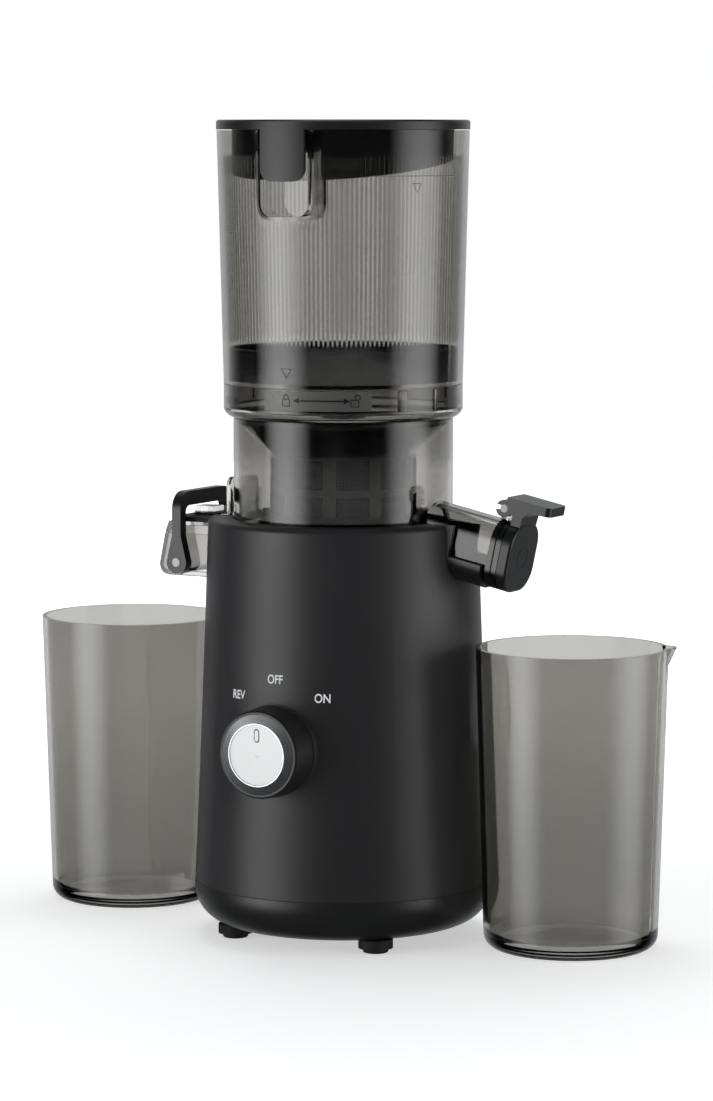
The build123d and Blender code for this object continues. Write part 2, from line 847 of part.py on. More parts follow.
with BuildPart() as ring_gear:
    with BuildSketch(Plane.XY.offset(gear_low)):
        Circle(ring_outer_radius)
        with BuildLine():
            Polyline(*gear_outline(ring_teeth, inward=True), close=True)
        make_face(mode=Mode.SUBTRACT)
    extrude(amount=gear_width)
save(ring_gear, "ring_gear")

with BuildPart() as gearbox_cover:
    with BuildSketch(Plane.XY.offset(case_top)):
        Circle(case_outer)
        with Locations(*gearbox_ears):
            Circle(ear_radius)
        Circle(bush_radius + seat_gap, mode=Mode.SUBTRACT)
        with Locations(*gearbox_ears):
            Circle(screw_radius + seat_gap, mode=Mode.SUBTRACT)
    extrude(amount=cover_thick)
    spin([(bush_radius + seat_gap, case_top), (cover_hub_radius, case_top),
          (cover_hub_radius, case_top + bush_height), (bush_radius + seat_gap, case_top + bush_height)])
save(gearbox_cover, "gearbox_cover")

ring("output_bush", bush_radius, shaft_radius + shaft_gap, case_top, case_top + bush_height)

planet_orbit = gear_module * (sun_teeth + planet_teeth) / 2
carrier_low = gear_low + gear_width + body_gap
with BuildPart() as planet_carrier:
    with BuildSketch(Plane.XY.offset(carrier_low)):
        Circle(carrier_radius)
    extrude(amount=carrier_thick)
    with BuildSketch(Plane.XY.offset(gear_low + swing_gap)):
        with PolarLocations(planet_orbit, planet_count):
            Circle(planet_pin_radius)
    extrude(amount=carrier_low - gear_low)
    with BuildSketch(Plane.XY.offset(carrier_low)):
        Circle(shaft_radius)
    extrude(amount=deck_top + drive_neck - carrier_low)
    with BuildSketch(Plane.XY.offset(deck_top + drive_neck - root)):
        RegularPolygon(drive_hex / 2, 6, major_radius=False)
    extrude(amount=drive_top - deck_top - drive_neck + root)
    chamfer(edges().group_by(Axis.Z)[-1], drive_chamfer)
save(planet_carrier, "planet_carrier")

for number in range(planet_count):
    turn = radians(360 * number / planet_count)
    mesh_turn = turn + pi / planet_teeth
    spot = Plane(origin=(planet_orbit * cos(turn), planet_orbit * sin(turn), gear_low + body_gap),
                 x_dir=(cos(mesh_turn), sin(mesh_turn), 0), z_dir=(0, 0, 1))
    with BuildPart() as planet_gear:
        with BuildSketch(spot):
            with BuildLine():
                Polyline(*gear_outline(planet_teeth), close=True)
            make_face()
            Circle(planet_pin_radius + shaft_gap, mode=Mode.SUBTRACT)
        extrude(amount=gear_width - 2 * body_gap)
    save(planet_gear, f"planet_gear_{number + 1}")

screws("gearbox_screws", gearbox_ears, case_top - screw_head, cover_thick + grommet_height + screw_grip)

with BuildPart() as motor_grommets:
    with BuildSketch(Plane.XY.offset(case_top + cover_thick)):
        with Locations(*gearbox_ears):
            Circle(stud_radius)
            Circle(screw_radius + seat_gap, mode=Mode.SUBTRACT)
    extrude(amount=grommet_height)
save(motor_grommets, "motor_grommets")

# Controls

with BuildPart() as rotary_switch:
    with BuildSketch(Plane.XZ.offset(boss_inner)):
        with Locations((0, knob_height)):
            RectangleRounded(switch_side, switch_side, switch_corner)
            Circle(spindle_radius + shaft_gap, mode=Mode.SUBTRACT)
    extrude(amount=-switch_depth)
    with BuildSketch(Plane.XZ.offset(boss_inner - switch_depth)):
        with Locations(*[(x, knob_height + z) for x in pin_columns for z in pin_rows]):
            Rectangle(pin_thick, pin_width)
    extrude(amount=-pin_length)
save(rotary_switch, "rotary_switch")

with BuildPart() as control_board:
    with Locations((0, board_y, board_low + board_height / 2)):
        Box(board_width, board_thick, board_height)
    with Locations(*[(x, board_y - board_part[1] / 2, board_low + up) for x, up in board_part_places]):
        Box(*board_part)
save(control_board, "control_board")

with BuildPart() as reed_switch:
    with Locations((*reed_place, deck_bottom - reed_size[2] / 2)):
        Box(*reed_size)
save(reed_switch, "reed_switch")

knob_centre = Vector(0, -knob_seat, knob_height)
knob_length = knob_reach - knob_seat


def knob_turn(points):
    """Turn an outline of (radius, distance from the seat) about the knob's own axis."""
    with BuildSketch(Plane(origin=knob_centre, x_dir=(1, 0, 0), z_dir=(0, 0, 1))) as outline:
        with BuildLine():
            Polyline(*[(radius, -reach) for radius, reach in points], close=True)
        make_face()
    revolve(outline.sketch, axis=Axis(knob_centre, (0, 1, 0)))


bevel_back = knob_length - bevel_depth
knob_floor = bevel_back - knob_recess
with BuildPart() as knob_skirt:
    knob_turn([(spindle_radius + press_gap, body_gap), (knob_radius, body_gap),
               (knob_front_radius, bevel_back - knob_edge), (knob_front_radius - knob_edge, bevel_back),
               (bevel_radius, bevel_back), (bevel_radius, knob_floor),
               (spindle_radius + press_gap, knob_floor)])
save(knob_skirt, "knob_skirt")

with BuildPart() as knob_bevel:
    knob_turn([(face_radius, knob_floor), (bevel_radius - seat_gap, knob_floor),
               (bevel_radius - seat_gap, bevel_back), (face_radius + bevel_land, knob_length),
               (face_radius, knob_length)])
save(knob_bevel, "knob_bevel")

with BuildPart() as knob_face:
    knob_turn([(0, knob_floor), (face_radius - seat_gap, knob_floor),
               (face_radius - seat_gap, knob_length - face_inset), (0, knob_length - face_dish)])
    with BuildSketch(Plane.XZ.offset(knob_reach - mark_depth)):
        with Locations((0, knob_height + mark_up)):
            SlotOverall(mark_length, mark_width, rotation=90)
    extrude(amount=far, mode=Mode.SUBTRACT)
save(knob_face, "knob_face")

with BuildPart() as knob_spindle:
    spindle_back = boss_inner - switch_depth + spindle_hold
    with BuildSketch(Plane.XZ.offset(spindle_back)):
        with Locations((0, knob_height)):
            Circle(spindle_radius)
    extrude(amount=knob_seat + knob_floor - spindle_back)
save(knob_spindle, "knob_spindle")

# Juicing bowl with spout and pulp chute

tube_end_s = -(cap_thick + cap_seat_gap)
tube_length = cap_face_x - bowl_radius + spout_root
chute_start = bowl_radius - chute_root
port_reach = bowl_radius - sqrt(bowl_inner ** 2 - port_half ** 2) + 2 * past


def chute_profile(inset, roof_cut):
    """Side outline of the pulp chute below its seam, drawn inward by inset."""
    low = chute_bottom + inset
    high = chute_seam + roof_cut
    return [(-chute_start, low), (-(chute_end - inset), low), (-(chute_shoulder - inset), high),
            (-chute_start, high)]


with BuildPart() as juicing_bowl:
    with BuildSketch(Plane.XZ):
        with BuildLine():
            Polyline((0, bowl_floor_low), (bowl_radius - bowl_skirt_wall, bowl_floor_low),
                     (bowl_radius - bowl_skirt_wall, bowl_low), (bowl_radius, bowl_low),
                     (bowl_radius, shoulder_height))
            swell = ThreePointArc((bowl_radius, shoulder_height),
                                  (bowl_radius + swell_out, shoulder_height + swell_up),
                                  (collar_radius, collar_low))
            Polyline(swell @ 1, (collar_radius, bowl_top), (0, bowl_top), (0, bowl_floor_low))
        make_face()
    revolve(axis=Axis.Z)
    with BuildSketch(cap_face.offset(tube_end_s)):
        RectangleRounded(spout_width, spout_height, spout_corner)
    extrude(amount=-tube_length)
    with BuildSketch(Plane.XZ):
        with BuildLine():
            Polyline(*chute_profile(0, 0), close=True)
        make_face()
        fillet(vertices().group_by(Axis.X)[0], chute_round)
        with Locations((-chute_neck, chute_seam - root)):
            Rectangle(chute_neck - chute_start, chute_roof - chute_seam + root, align=(Align.MIN, Align.MIN))
    extrude(amount=chute_half, both=True)
    # Fin beside the bowl, held by two ribs, with the ears of the cover's hinge
    with BuildSketch(Plane.YZ.offset(-chute_neck)):
        with Locations((0, (chute_seam + fin_top) / 2)):
            RectangleRounded(2 * fin_half, fin_top - chute_seam, fin_corner)
    extrude(amount=fin_thick)
    for side in (-1, 1):
        with BuildSketch(Plane.XZ.offset(side * (fin_half - fin_rib_inset))):
            with Locations((-chute_neck + root, chute_roof - root)):
                Rectangle(chute_neck - bowl_radius + root, fin_rib_height, align=(Align.MIN, Align.MIN))
        extrude(amount=fin_rib / 2, both=True)
        with BuildSketch(Plane.XZ.offset(side * (fin_half - cover_ear_thick / 2))):
            with Locations((-cover_pin_x, cover_pin_z)):
                Circle(cover_knuckle)
                Rectangle(cover_pin_x - chute_neck + root, 2 * cover_knuckle,
                          align=(Align.MIN, Align.CENTER))
        extrude(amount=cover_ear_thick / 2, both=True)
    # Bosses of the bail's pins
    for side in (-1, 1):
        with BuildSketch(Plane.XZ.offset(side * (chute_half - root))):
            with Locations((-bail_x, bail_z)):
                Circle(bail_pin_radius + bail_pin_wall)
        extrude(amount=side * (bail_half - bail_thick - swing_gap - chute_half + root))
    # Ear of the cap's hinge on the spout
    with BuildSketch(cap_side):
        with Locations((cap_pin_s, cap_pin_up)):
            Circle(cap_pin_radius + cap_ear_wall)
            Rectangle(cap_ear_width, cap_pin_up - spout_height / 2 + cap_ear_root,
                      align=(Align.CENTER, Align.MAX))
    extrude(amount=cap_ear_half, both=True)
    # Hollow inside
    with BuildSketch(Plane.XZ):
        with BuildLine():
            Polyline((0, bowl_floor_top), (bowl_inner, bowl_floor_top),
                     (bowl_inner, shoulder_height - shoulder_drop),
                     (collar_inner - ledge_width, ledge_height), (collar_inner, ledge_height),
                     (collar_inner, groove_low), (groove_radius, groove_low),
                     (groove_radius, groove_top), (collar_inner, groove_top),
                     (collar_inner, bowl_top + past), (0, bowl_top + past), close=True)
        make_face()
    revolve(axis=Axis.Z, mode=Mode.SUBTRACT)
    with BuildSketch(cap_face.offset(tube_end_s + past)):
        RectangleRounded(spout_width - 2 * spout_wall, spout_height - 2 * spout_wall,
                         spout_corner - spout_wall)
    extrude(amount=-tube_length - past, mode=Mode.SUBTRACT)
    with BuildSketch(Plane.XZ):
        with BuildLine():
            Polyline(*chute_profile(chute_wall, past), close=True)
        make_face()
        fillet(vertices().group_by(Axis.X)[0], chute_round - chute_wall)
        with Locations((-chute_neck + chute_wall, chute_seam - past)):
            Rectangle(chute_neck - chute_start, port_top - chute_seam + past, align=(Align.MIN, Align.MIN))
        with Locations((-bowl_radius - swing_gap, 0)):
            Rectangle(far, 2 * far, align=(Align.MIN, Align.CENTER), mode=Mode.SUBTRACT)
        with Locations((-chute_neck, chute_seam)):
            Rectangle(chute_wall, chute_roof - chute_seam, align=(Align.MIN, Align.MIN),
                      mode=Mode.SUBTRACT)
    extrude(amount=chute_half - chute_wall, both=True, mode=Mode.SUBTRACT)
    # Port in the bowl's wall and the hole in the chute's floor where pulp drops out
    with BuildSketch(Plane.YZ.offset(-bowl_radius - past)):
        with Locations((0, (bowl_floor_top + port_top) / 2)):
            RectangleRounded(2 * port_half, port_top - bowl_floor_top, port_corner)
    extrude(amount=port_reach, mode=Mode.SUBTRACT)
    with BuildSketch(Plane.XY.offset(chute_bottom - past)):
        with Locations((-(drop_near + drop_far) / 2, 0)):
            RectangleRounded(drop_far - drop_near, 2 * port_half, port_corner)
    extrude(amount=chute_wall + 2 * past, mode=Mode.SUBTRACT)
    for side in (-1, 1):
        with BuildSketch(Plane.XZ.offset(side * (chute_half - root))):
            with Locations((-bail_x, bail_z)):
                Circle(bail_pin_radius + press_gap)
        extrude(amount=side * far, mode=Mode.SUBTRACT)
    with BuildSketch(Plane.XZ):
        with Locations((-cover_pin_x, cover_pin_z)):
            Circle(cover_pin_radius + press_gap)
    extrude(amount=fin_half + past, both=True, mode=Mode.SUBTRACT)
    with BuildSketch(cap_side):
        with Locations((cap_pin_s, cap_pin_up)):
            Circle(cap_pin_radius + press_gap)
    extrude(amount=cap_pin_half, both=True, mode=Mode.SUBTRACT)
    # Bayonet entries in the collar, and the boss around the drive shaft
    entry_radius = groove_radius + seat_gap
    for number in range(bayonet_count):
        middle = 360 * (number + 0.5) / bayonet_count + twist_angle
        spin([(collar_inner - past, groove_top - past), (entry_radius, groove_top - past),
              (entry_radius, bowl_top + past), (collar_inner - past, bowl_top + past)],
             middle - bayonet_angle / 2 - bayonet_slack, bayonet_angle + 2 * bayonet_slack, Mode.SUBTRACT)
    with BuildSketch(Plane.XY.offset(bowl_floor_low)):
        Circle(boss_radius)
    extrude(amount=bowl_floor + boss_height)
    with BuildSketch(Plane.XY.offset(bowl_low)):
        Circle(boss_bore)
    extrude(amount=far, mode=Mode.SUBTRACT)
save(juicing_bowl, "juicing_bowl")

ring("bowl_seal", boss_radius + bowl_seal_wall, boss_radius + press_gap, bowl_floor_top,
     bowl_floor_top + bowl_seal_height)

with BuildPart() as bowl_magnet:
    with Locations((*reed_place, bowl_floor_low - seat_gap - magnet_pill_height / 2)):
        Cylinder(magnet_pill_radius, magnet_pill_height)
save(bowl_magnet, "bowl_magnet")

# Printed plate on the collar's front, which carries the lock marks
with BuildPart() as lock_plate:
    plate_low = collar_low + plate_margin_low
    plate_high = bowl_top - plate_margin_high
    spin([(collar_radius + press_gap, plate_low), (collar_radius + plate_thick, plate_low),
          (collar_radius + plate_thick, plate_high), (collar_radius + press_gap, plate_high)],
         plate_start, plate_angle)
save(lock_plate, "lock_plate")

# The two-ridged collar round the spout's mouth
with BuildPart() as spout_collar:
    for start, length, proud in collar_steps:
        with BuildSketch(cap_face.offset(tube_end_s - start)):
            RectangleRounded(spout_width + 2 * proud, spout_height + 2 * proud, spout_corner + proud)
            RectangleRounded(spout_width + 2 * press_gap, spout_height + 2 * press_gap,
                             spout_corner + press_gap, mode=Mode.SUBTRACT)
        extrude(amount=-length)
    with BuildSketch(cap_side):
        Rectangle(far, far, align=(Align.MAX, Align.MIN))
    extrude(amount=cap_ear_half + seat_gap, both=True, mode=Mode.SUBTRACT)
save(spout_collar, "spout_collar")

with BuildPart() as cap_hinge_pin:
    with BuildSketch(cap_side):
        with Locations((cap_pin_s, cap_pin_up)):
            Circle(cap_pin_radius)
    extrude(amount=cap_pin_half, both=True)
save(cap_hinge_pin, "cap_hinge_pin")

with BuildPart() as bail_pins:
    for side in (-1, 1):
        with BuildSketch(Plane.XZ.offset(side * (chute_half - root))):
            with Locations((-bail_x, bail_z)):
                Circle(bail_pin_radius)
        extrude(amount=side * (bail_pin_end - chute_half + root))
save(bail_pins, "bail_pins")

with BuildPart() as cover_hinge_pin:
    with BuildSketch(Plane.XZ):
        with Locations((-cover_pin_x, cover_pin_z)):
            Circle(cover_pin_radius)
    extrude(amount=fin_half, both=True)
save(cover_hinge_pin, "cover_hinge_pin")

# Pulp outlet's cover and bail

with BuildPart() as pulp_cover:
    cover_low = chute_seam + body_gap
    cover_near = chute_neck + swing_gap
    with BuildSketch(Plane.XZ):
        with BuildLine():
            Polyline((-cover_near, cover_low), (-chute_shoulder, cover_low), (-cover_tip, cover_top),
                     (-cover_near, cover_top), close=True)
        make_face()
    extrude(amount=chute_half, both=True)
    with BuildSketch(Plane.XZ):
        with BuildLine():
            Polyline((-cover_near - chute_wall, cover_low - past),
                     (-chute_shoulder + chute_wall, cover_low - past),
                     (-cover_tip + chute_wall, cover_top - chute_wall),
                     (-cover_near - chute_wall, cover_top - chute_wall), close=True)
        make_face()
    extrude(amount=chute_half - chute_wall, both=True, mode=Mode.SUBTRACT)
    with BuildSketch(Plane.XZ):
        with Locations((-lug_far, cover_top - root)):
            Rectangle(lug_far - lug_near, lug_top - cover_top + root, align=(Align.MIN, Align.MIN))
    extrude(amount=lug_half, both=True)
    with BuildSketch(Plane.XZ):
        with Locations((-cover_pin_x, cover_pin_z)):
            Circle(cover_knuckle)
            Rectangle(2 * cover_knuckle, cover_pin_z - cover_top + root, align=(Align.CENTER, Align.MAX))
    extrude(amount=fin_half - cover_ear_thick - swing_gap, both=True)
    with BuildSketch(Plane.XZ):
        with Locations((-cover_pin_x, cover_pin_z)):
            Circle(cover_pin_radius + shaft_gap)
    extrude(amount=fin_half, both=True, mode=Mode.SUBTRACT)
save(pulp_cover, "pulp_cover")

with BuildPart() as cover_pad:
    pad_near = cover_pin_x + cover_knuckle + pad_margin
    pad_far = cover_tip - pad_margin
    with Locations((-(pad_near + pad_far) / 2, 0, cover_top)):
        Box(pad_far - pad_near, 2 * (chute_half - pad_side), pad_thick,
            align=(Align.CENTER, Align.CENTER, Align.MIN))
    with Locations((-(lug_near + lug_far) / 2, 0, cover_top)):
        Box(lug_far - lug_near + 2 * seat_gap, 2 * (lug_half + seat_gap), far, mode=Mode.SUBTRACT)
save(cover_pad, "cover_pad")

with BuildPart() as pulp_bail:
    taper_half = bail_eye - bail_taper_inset
    with BuildSketch(Plane.XZ):
        with Locations((-bail_x, bail_z)):
            Circle(bail_eye)
        with BuildLine():
            Polyline((-bail_x - taper_half, bail_z + bail_taper_low),
                     (-bail_x - bail_width / 2, bail_z + bail_taper_high),
                     (-bail_x - bail_width / 2, bail_top), (-bail_x + bail_width / 2, bail_top),
                     (-bail_x + bail_width / 2, bail_z + bail_taper_high),
                     (-bail_x + taper_half, bail_z + bail_taper_low), close=True)
        make_face()
        fillet(vertices().group_by(Axis.Y)[-2], bail_waist_round)
    extrude(amount=bail_half, both=True)
    with BuildSketch(Plane.YZ):
        with Locations((0, bail_top)):
            Rectangle(2 * bail_half, bail_top - bail_z + 2 * bail_eye, align=(Align.CENTER, Align.MAX))
        fillet(vertices().group_by(Axis.Y)[-1], bail_round)
        with Locations((0, bail_top - bail_bar)):
            RectangleRounded(2 * (bail_half - bail_thick), far, bail_round - bail_thick,
                             align=(Align.CENTER, Align.MAX), mode=Mode.SUBTRACT)
    extrude(amount=-far, mode=Mode.INTERSECT)
    with BuildSketch(Plane.XZ):
        with Locations((-bail_x, bail_z)):
            Circle(bail_pin_radius + shaft_gap)
    extrude(amount=bail_half + past, both=True, mode=Mode.SUBTRACT)
save(pulp_bail, "pulp_bail")

# Juice cap with its lever and claws

with BuildPart() as juice_cap:
    with BuildSketch(cap_face.offset(-cap_thick)):
        RectangleRounded(cap_width, cap_height, cap_corner)
    extrude(amount=cap_thick)
    fillet(faces().sort_by(Axis(cap_face.origin, cap_face.z_dir))[-1].edges(), cap_edge_round)
    lever_under = lever_top - lever_thick
    stalk_low = cap_height / 2 - stalk_root
    with BuildSketch(cap_side):
        with BuildLine():
            Polyline((cap_pin_s + claw_start, lever_top), (lever_end_s, lever_top),
                     (lever_end_s, lever_under), (lever_root_s, lever_under - lever_root_drop),
                     (0, stalk_front_up),
                     (-stalk_inset, stalk_low), (-cap_thick, stalk_low), (-cap_thick, stalk_back_up),
                     (cap_pin_s + claw_start, cap_pin_up), close=True)
        make_face()
        with Locations((cap_pin_s, cap_pin_up)):
            Circle(claw_radius)
            Circle(cap_pin_radius + shaft_gap, mode=Mode.SUBTRACT)
            Rectangle(far, claw_mouth, align=(Align.MAX, Align.CENTER), mode=Mode.SUBTRACT)
    extrude(amount=lever_half, both=True)
    lever_corners = edges().filter_by(Axis(cap_face.origin, cap_face.y_dir))
    fillet(lever_corners.sort_by(Axis(cap_face.origin, cap_face.z_dir))[-2:], lever_round)
    # Room for the hinge ear between the claws
    room_radius = cap_pin_radius + claw_room
    with BuildSketch(cap_side):
        with Locations((cap_pin_s, cap_pin_up)):
            Circle(room_radius)
        with Locations((cap_pin_s + room_radius, cap_pin_up + room_radius)):
            Rectangle(far, far, align=(Align.MAX, Align.MAX))
    extrude(amount=cap_ear_half + swing_gap, both=True, mode=Mode.SUBTRACT)
save(juice_cap, "juice_cap")

with BuildPart() as cap_plug:
    plug_inset = spout_wall + plug_gap
    with BuildSketch(cap_face.offset(-cap_thick)):
        RectangleRounded(spout_width - 2 * plug_inset, spout_height - 2 * plug_inset,
                         spout_corner - plug_inset)
    extrude(amount=-(plug_depth + cap_seat_gap), taper=plug_taper)
save(cap_plug, "cap_plug")

# Strainer and auger

with BuildPart() as strainer_frame:
    spin([(strainer_radius - strainer_wall, bowl_floor_top), (strainer_radius, bowl_floor_top),
          (strainer_radius, strainer_flare), (strainer_rim, strainer_top - strainer_lip),
          (strainer_rim, strainer_top), (strainer_rim - strainer_rim_width, strainer_top),
          (strainer_radius - strainer_wall, strainer_flare + strainer_flare_rise)])
    for row_low, row_high in window_rows:
        with BuildSketch(Plane.XY.offset(row_low)):
            with PolarLocations(strainer_radius, window_count, start_angle=180 / window_count):
                Rectangle(window_depth, 2 * strainer_radius * sin(radians(window_angle / 2)))
        extrude(amount=row_high - row_low, mode=Mode.SUBTRACT)
save(strainer_frame, "strainer_frame")

mesh_outer = strainer_radius - strainer_wall - press_gap
ring("strainer_mesh", mesh_outer, mesh_outer - mesh_wall, window_rows[0][0] - mesh_margin,
     window_rows[-1][1] + mesh_margin)

with BuildPart() as auger_screw:
    spin([(boss_radius + swing_gap, auger_bottom), (auger_core_low, auger_bottom),
          (auger_core_low, auger_bottom + auger_edge), (auger_core_high, auger_top - auger_nose),
          (auger_nose_radius, auger_top), (0, auger_top), (0, socket_top), (socket_radius, socket_top),
          (socket_radius, boss_top), (boss_radius + swing_gap, boss_top)])
    flight_height = auger_top - flight_end - auger_bottom - flight_thick
    with BuildLine() as flight_path:
        Helix(auger_pitch, flight_height, auger_core_high - flight_root,
              center=(0, 0, auger_bottom + flight_thick / 2 + flight_rise))
    with BuildSketch(Plane(origin=flight_path.line @ 0, x_dir=(1, 0, 0), z_dir=flight_path.line % 0)):
        Rectangle(auger_radius - auger_core_high + flight_root, flight_thick,
                  align=(Align.MIN, Align.CENTER))
    sweep(path=flight_path.line, is_frenet=True)
    with BuildSketch(Plane.XY.offset(auger_bottom)):
        Circle(far)
        Circle(auger_radius, mode=Mode.SUBTRACT)
    extrude(amount=far, mode=Mode.SUBTRACT)
    with BuildSketch(Plane.XY.offset(bowl_floor_top)):
        Circle(socket_radius)
    extrude(amount=socket_top - bowl_floor_top, mode=Mode.SUBTRACT)
    with BuildSketch(Plane.XY.offset(bowl_floor_top)):
        Circle(boss_radius + swing_gap)
    extrude(amount=boss_top - bowl_floor_top, mode=Mode.SUBTRACT)
save(auger_screw, "auger_screw")

with BuildPart() as auger_socket:
    with BuildSketch(Plane.XY.offset(boss_top)):
        Circle(socket_radius - press_gap)
        RegularPolygon(drive_hex / 2 + socket_gap, 6, major_radius=False, mode=Mode.SUBTRACT)
    extrude(amount=socket_top - boss_top)
save(auger_socket, "auger_socket")

# Hopper

hopper_foot = bowl_top + body_gap
funnel_low = hopper_foot + hopper_floor
niche_back = hopper_high_radius - niche_depth
with BuildPart() as hopper_shell:
    with BuildSketch(Plane.XZ):
        with BuildLine():
            Polyline((0, hopper_neck_low), (hopper_neck_radius, hopper_neck_low),
                     (hopper_neck_radius, hopper_foot), (hopper_low_radius, hopper_foot),
                     (hopper_high_radius, hopper_top), (0, hopper_top), close=True)
        make_face()
    revolve(axis=Axis.Z)
    # Ears of the lid's hinge
    for side in (-1, 1):
        with BuildSketch(Plane.YZ.offset(side * (lid_knuckle_half + swing_gap + lid_ear / 2))):
            with BuildLine():
                Polyline((hopper_high_radius - lid_ear_root, lid_pin_z - lid_ear_low),
                         (lid_pin_y + lid_knuckle, lid_pin_z - lid_ear_step),
                         (lid_pin_y + lid_knuckle, lid_pin_z), (lid_pin_y - lid_knuckle, lid_pin_z),
                         (lid_pin_y - lid_knuckle, hopper_top - root),
                         (hopper_high_radius - lid_ear_root, hopper_top - root), close=True)
            make_face()
            with Locations((lid_pin_y, lid_pin_z)):
                Circle(lid_knuckle)
                Circle(lid_pin_radius + press_gap, mode=Mode.SUBTRACT)
        extrude(amount=lid_ear / 2, both=True)
    spin([(0, hopper_neck_low - past), (hopper_neck_radius - neck_wall, hopper_neck_low - past),
          (hopper_neck_radius - neck_wall, funnel_low), (hopper_low_radius - hopper_wall, funnel_low),
          (hopper_high_radius - hopper_wall, hopper_top + past), (0, hopper_top + past)], mode=Mode.SUBTRACT)
    # Finger niche at the front: an inward pocket with its own floor and back
    with BuildSketch(Plane.XZ.offset(niche_back - niche_wall)):
        with Locations((0, niche_floor - niche_wall)):
            Rectangle(2 * (niche_half + niche_wall), hopper_top - niche_floor + niche_wall,
                      align=(Align.CENTER, Align.MIN))
        fillet(vertices().group_by(Axis.Y)[0], niche_corner + niche_wall)
    extrude(amount=niche_depth - niche_skin)
    with BuildSketch(Plane.XZ.offset(niche_back)):
        with Locations((0, niche_floor)):
            Rectangle(2 * niche_half, hopper_top - niche_floor + past, align=(Align.CENTER, Align.MIN))
        fillet(vertices().group_by(Axis.Y)[0], niche_corner)
    extrude(amount=far, mode=Mode.SUBTRACT)
    # Bayonet lugs on the neck
    for number in range(bayonet_count):
        middle = 360 * (number + 0.5) / bayonet_count
        spin([(hopper_neck_radius - root, groove_low + bayonet_clear),
              (groove_radius - body_gap, groove_low + bayonet_clear),
              (groove_radius - body_gap, groove_top - bayonet_clear),
              (hopper_neck_radius - root, groove_top - bayonet_clear)],
             middle - bayonet_angle / 2, bayonet_angle)
save(hopper_shell, "hopper_shell")

with BuildPart() as hopper_funnel:
    funnel_out = hopper_low_radius - hopper_wall - seat_gap
    funnel_in = funnel_out - funnel_wall
    spin([(funnel_out, funnel_low), (funnel_out, funnel_top), (funnel_in, funnel_top),
          (funnel_in, funnel_low + funnel_slope + funnel_wall), (funnel_hole, funnel_low + funnel_wall),
          (funnel_hole, funnel_low - funnel_lip), (funnel_hole + funnel_wall, funnel_low - funnel_lip),
          (funnel_hole + funnel_wall, funnel_low), (funnel_in, funnel_low + funnel_slope),
          (funnel_in, funnel_low)])
save(hopper_funnel, "hopper_funnel")

ring("hopper_seal", hopper_neck_radius - hopper_seal_inset, hopper_neck_radius - neck_wall,
     hopper_neck_low - hopper_seal_height, hopper_neck_low)

with BuildPart() as lid_hinge_pin:
    with BuildSketch(Plane.YZ):
        with Locations((lid_pin_y, lid_pin_z)):
            Circle(lid_pin_radius)
    extrude(amount=lid_knuckle_half + swing_gap + lid_ear, both=True)
save(lid_hinge_pin, "lid_hinge_pin")

# Lid

lid_low = hopper_top + body_gap
lid_high = lid_low + lid_thick
with BuildPart() as lid_disc:
    with BuildSketch(Plane.XZ):
        with BuildLine():
            Polyline((0, lid_low), (lid_radius, lid_low), (lid_radius, lid_high - lid_round),
                     (lid_radius - lid_round, lid_high), (0, lid_high), close=True)
        make_face()
    revolve(axis=Axis.Z)
    with BuildSketch(Plane.XY.offset(lid_low - tab_drop)):
        Circle(lid_radius)
        Circle(lid_radius - tab_thick, mode=Mode.SUBTRACT)
        with Locations((0, -lid_radius)):
            Rectangle(2 * tab_half, lid_radius, mode=Mode.INTERSECT)
    extrude(amount=tab_drop + root)
    fillet(edges().filter_by(Axis.Y).group_by(Axis.Z)[0], tab_corner)
    with BuildSketch(Plane.YZ):
        with Locations((lid_pin_y, lid_pin_z)):
            Circle(lid_knuckle)
        with Locations((lid_pin_y, lid_low)):
            Rectangle(lid_pin_y - lid_radius + lid_knuckle_root, lid_pin_z + lid_knuckle - lid_low,
                      align=(Align.MAX, Align.MIN))
    extrude(amount=lid_knuckle_half, both=True)
    with BuildSketch(Plane.YZ):
        with Locations((lid_pin_y, lid_pin_z)):
            Circle(lid_pin_radius + shaft_gap)
    extrude(amount=lid_knuckle_half + past, both=True, mode=Mode.SUBTRACT)
save(lid_disc, "lid_disc")

with BuildPart() as lid_skirt:
    spin([(skirt_radius - skirt_wall, lid_low - skirt_front), (skirt_radius, lid_low - skirt_front),
          (skirt_radius, lid_low), (skirt_radius - skirt_wall, lid_low)])
    # The lower edge slopes up from the front to the back
    with BuildSketch(Plane.YZ):
        with BuildLine():
            Polyline((-skirt_radius - past, lid_low - skirt_front),
                     (skirt_radius + past, lid_low - skirt_back),
                     (skirt_radius + past, lid_low - far), (-skirt_radius - past, lid_low - far),
                     close=True)
        make_face()
    extrude(amount=far, both=True, mode=Mode.SUBTRACT)
    with Locations((0, -(niche_back - niche_wall - skirt_notch_back), lid_low)):
        Box(2 * (niche_half + niche_wall + skirt_notch_side), far, far,
            align=(Align.CENTER, Align.MAX, Align.CENTER), mode=Mode.SUBTRACT)
save(lid_skirt, "lid_skirt")

# Cups


def cup_outline(inset):
    """Side outline of a cup, drawn inward by inset (the floor by the floor's own thickness)."""
    low = cup_floor if inset else 0
    top = cup_height + (past if inset else 0)
    corner = cup_corner - inset / 2
    bottom = cup_bottom_radius - inset
    with BuildLine() as side:
        Polyline((0, low), (bottom - corner, low))
        bend = ThreePointArc((bottom - corner, low),
                             (bottom - corner + diagonal * corner, low + corner - diagonal * corner),
                             (bottom, low + corner))
        Polyline(bend @ 1, (cup_top_radius - inset, top), (0, top), (0, low))
    make_face(side.edges())


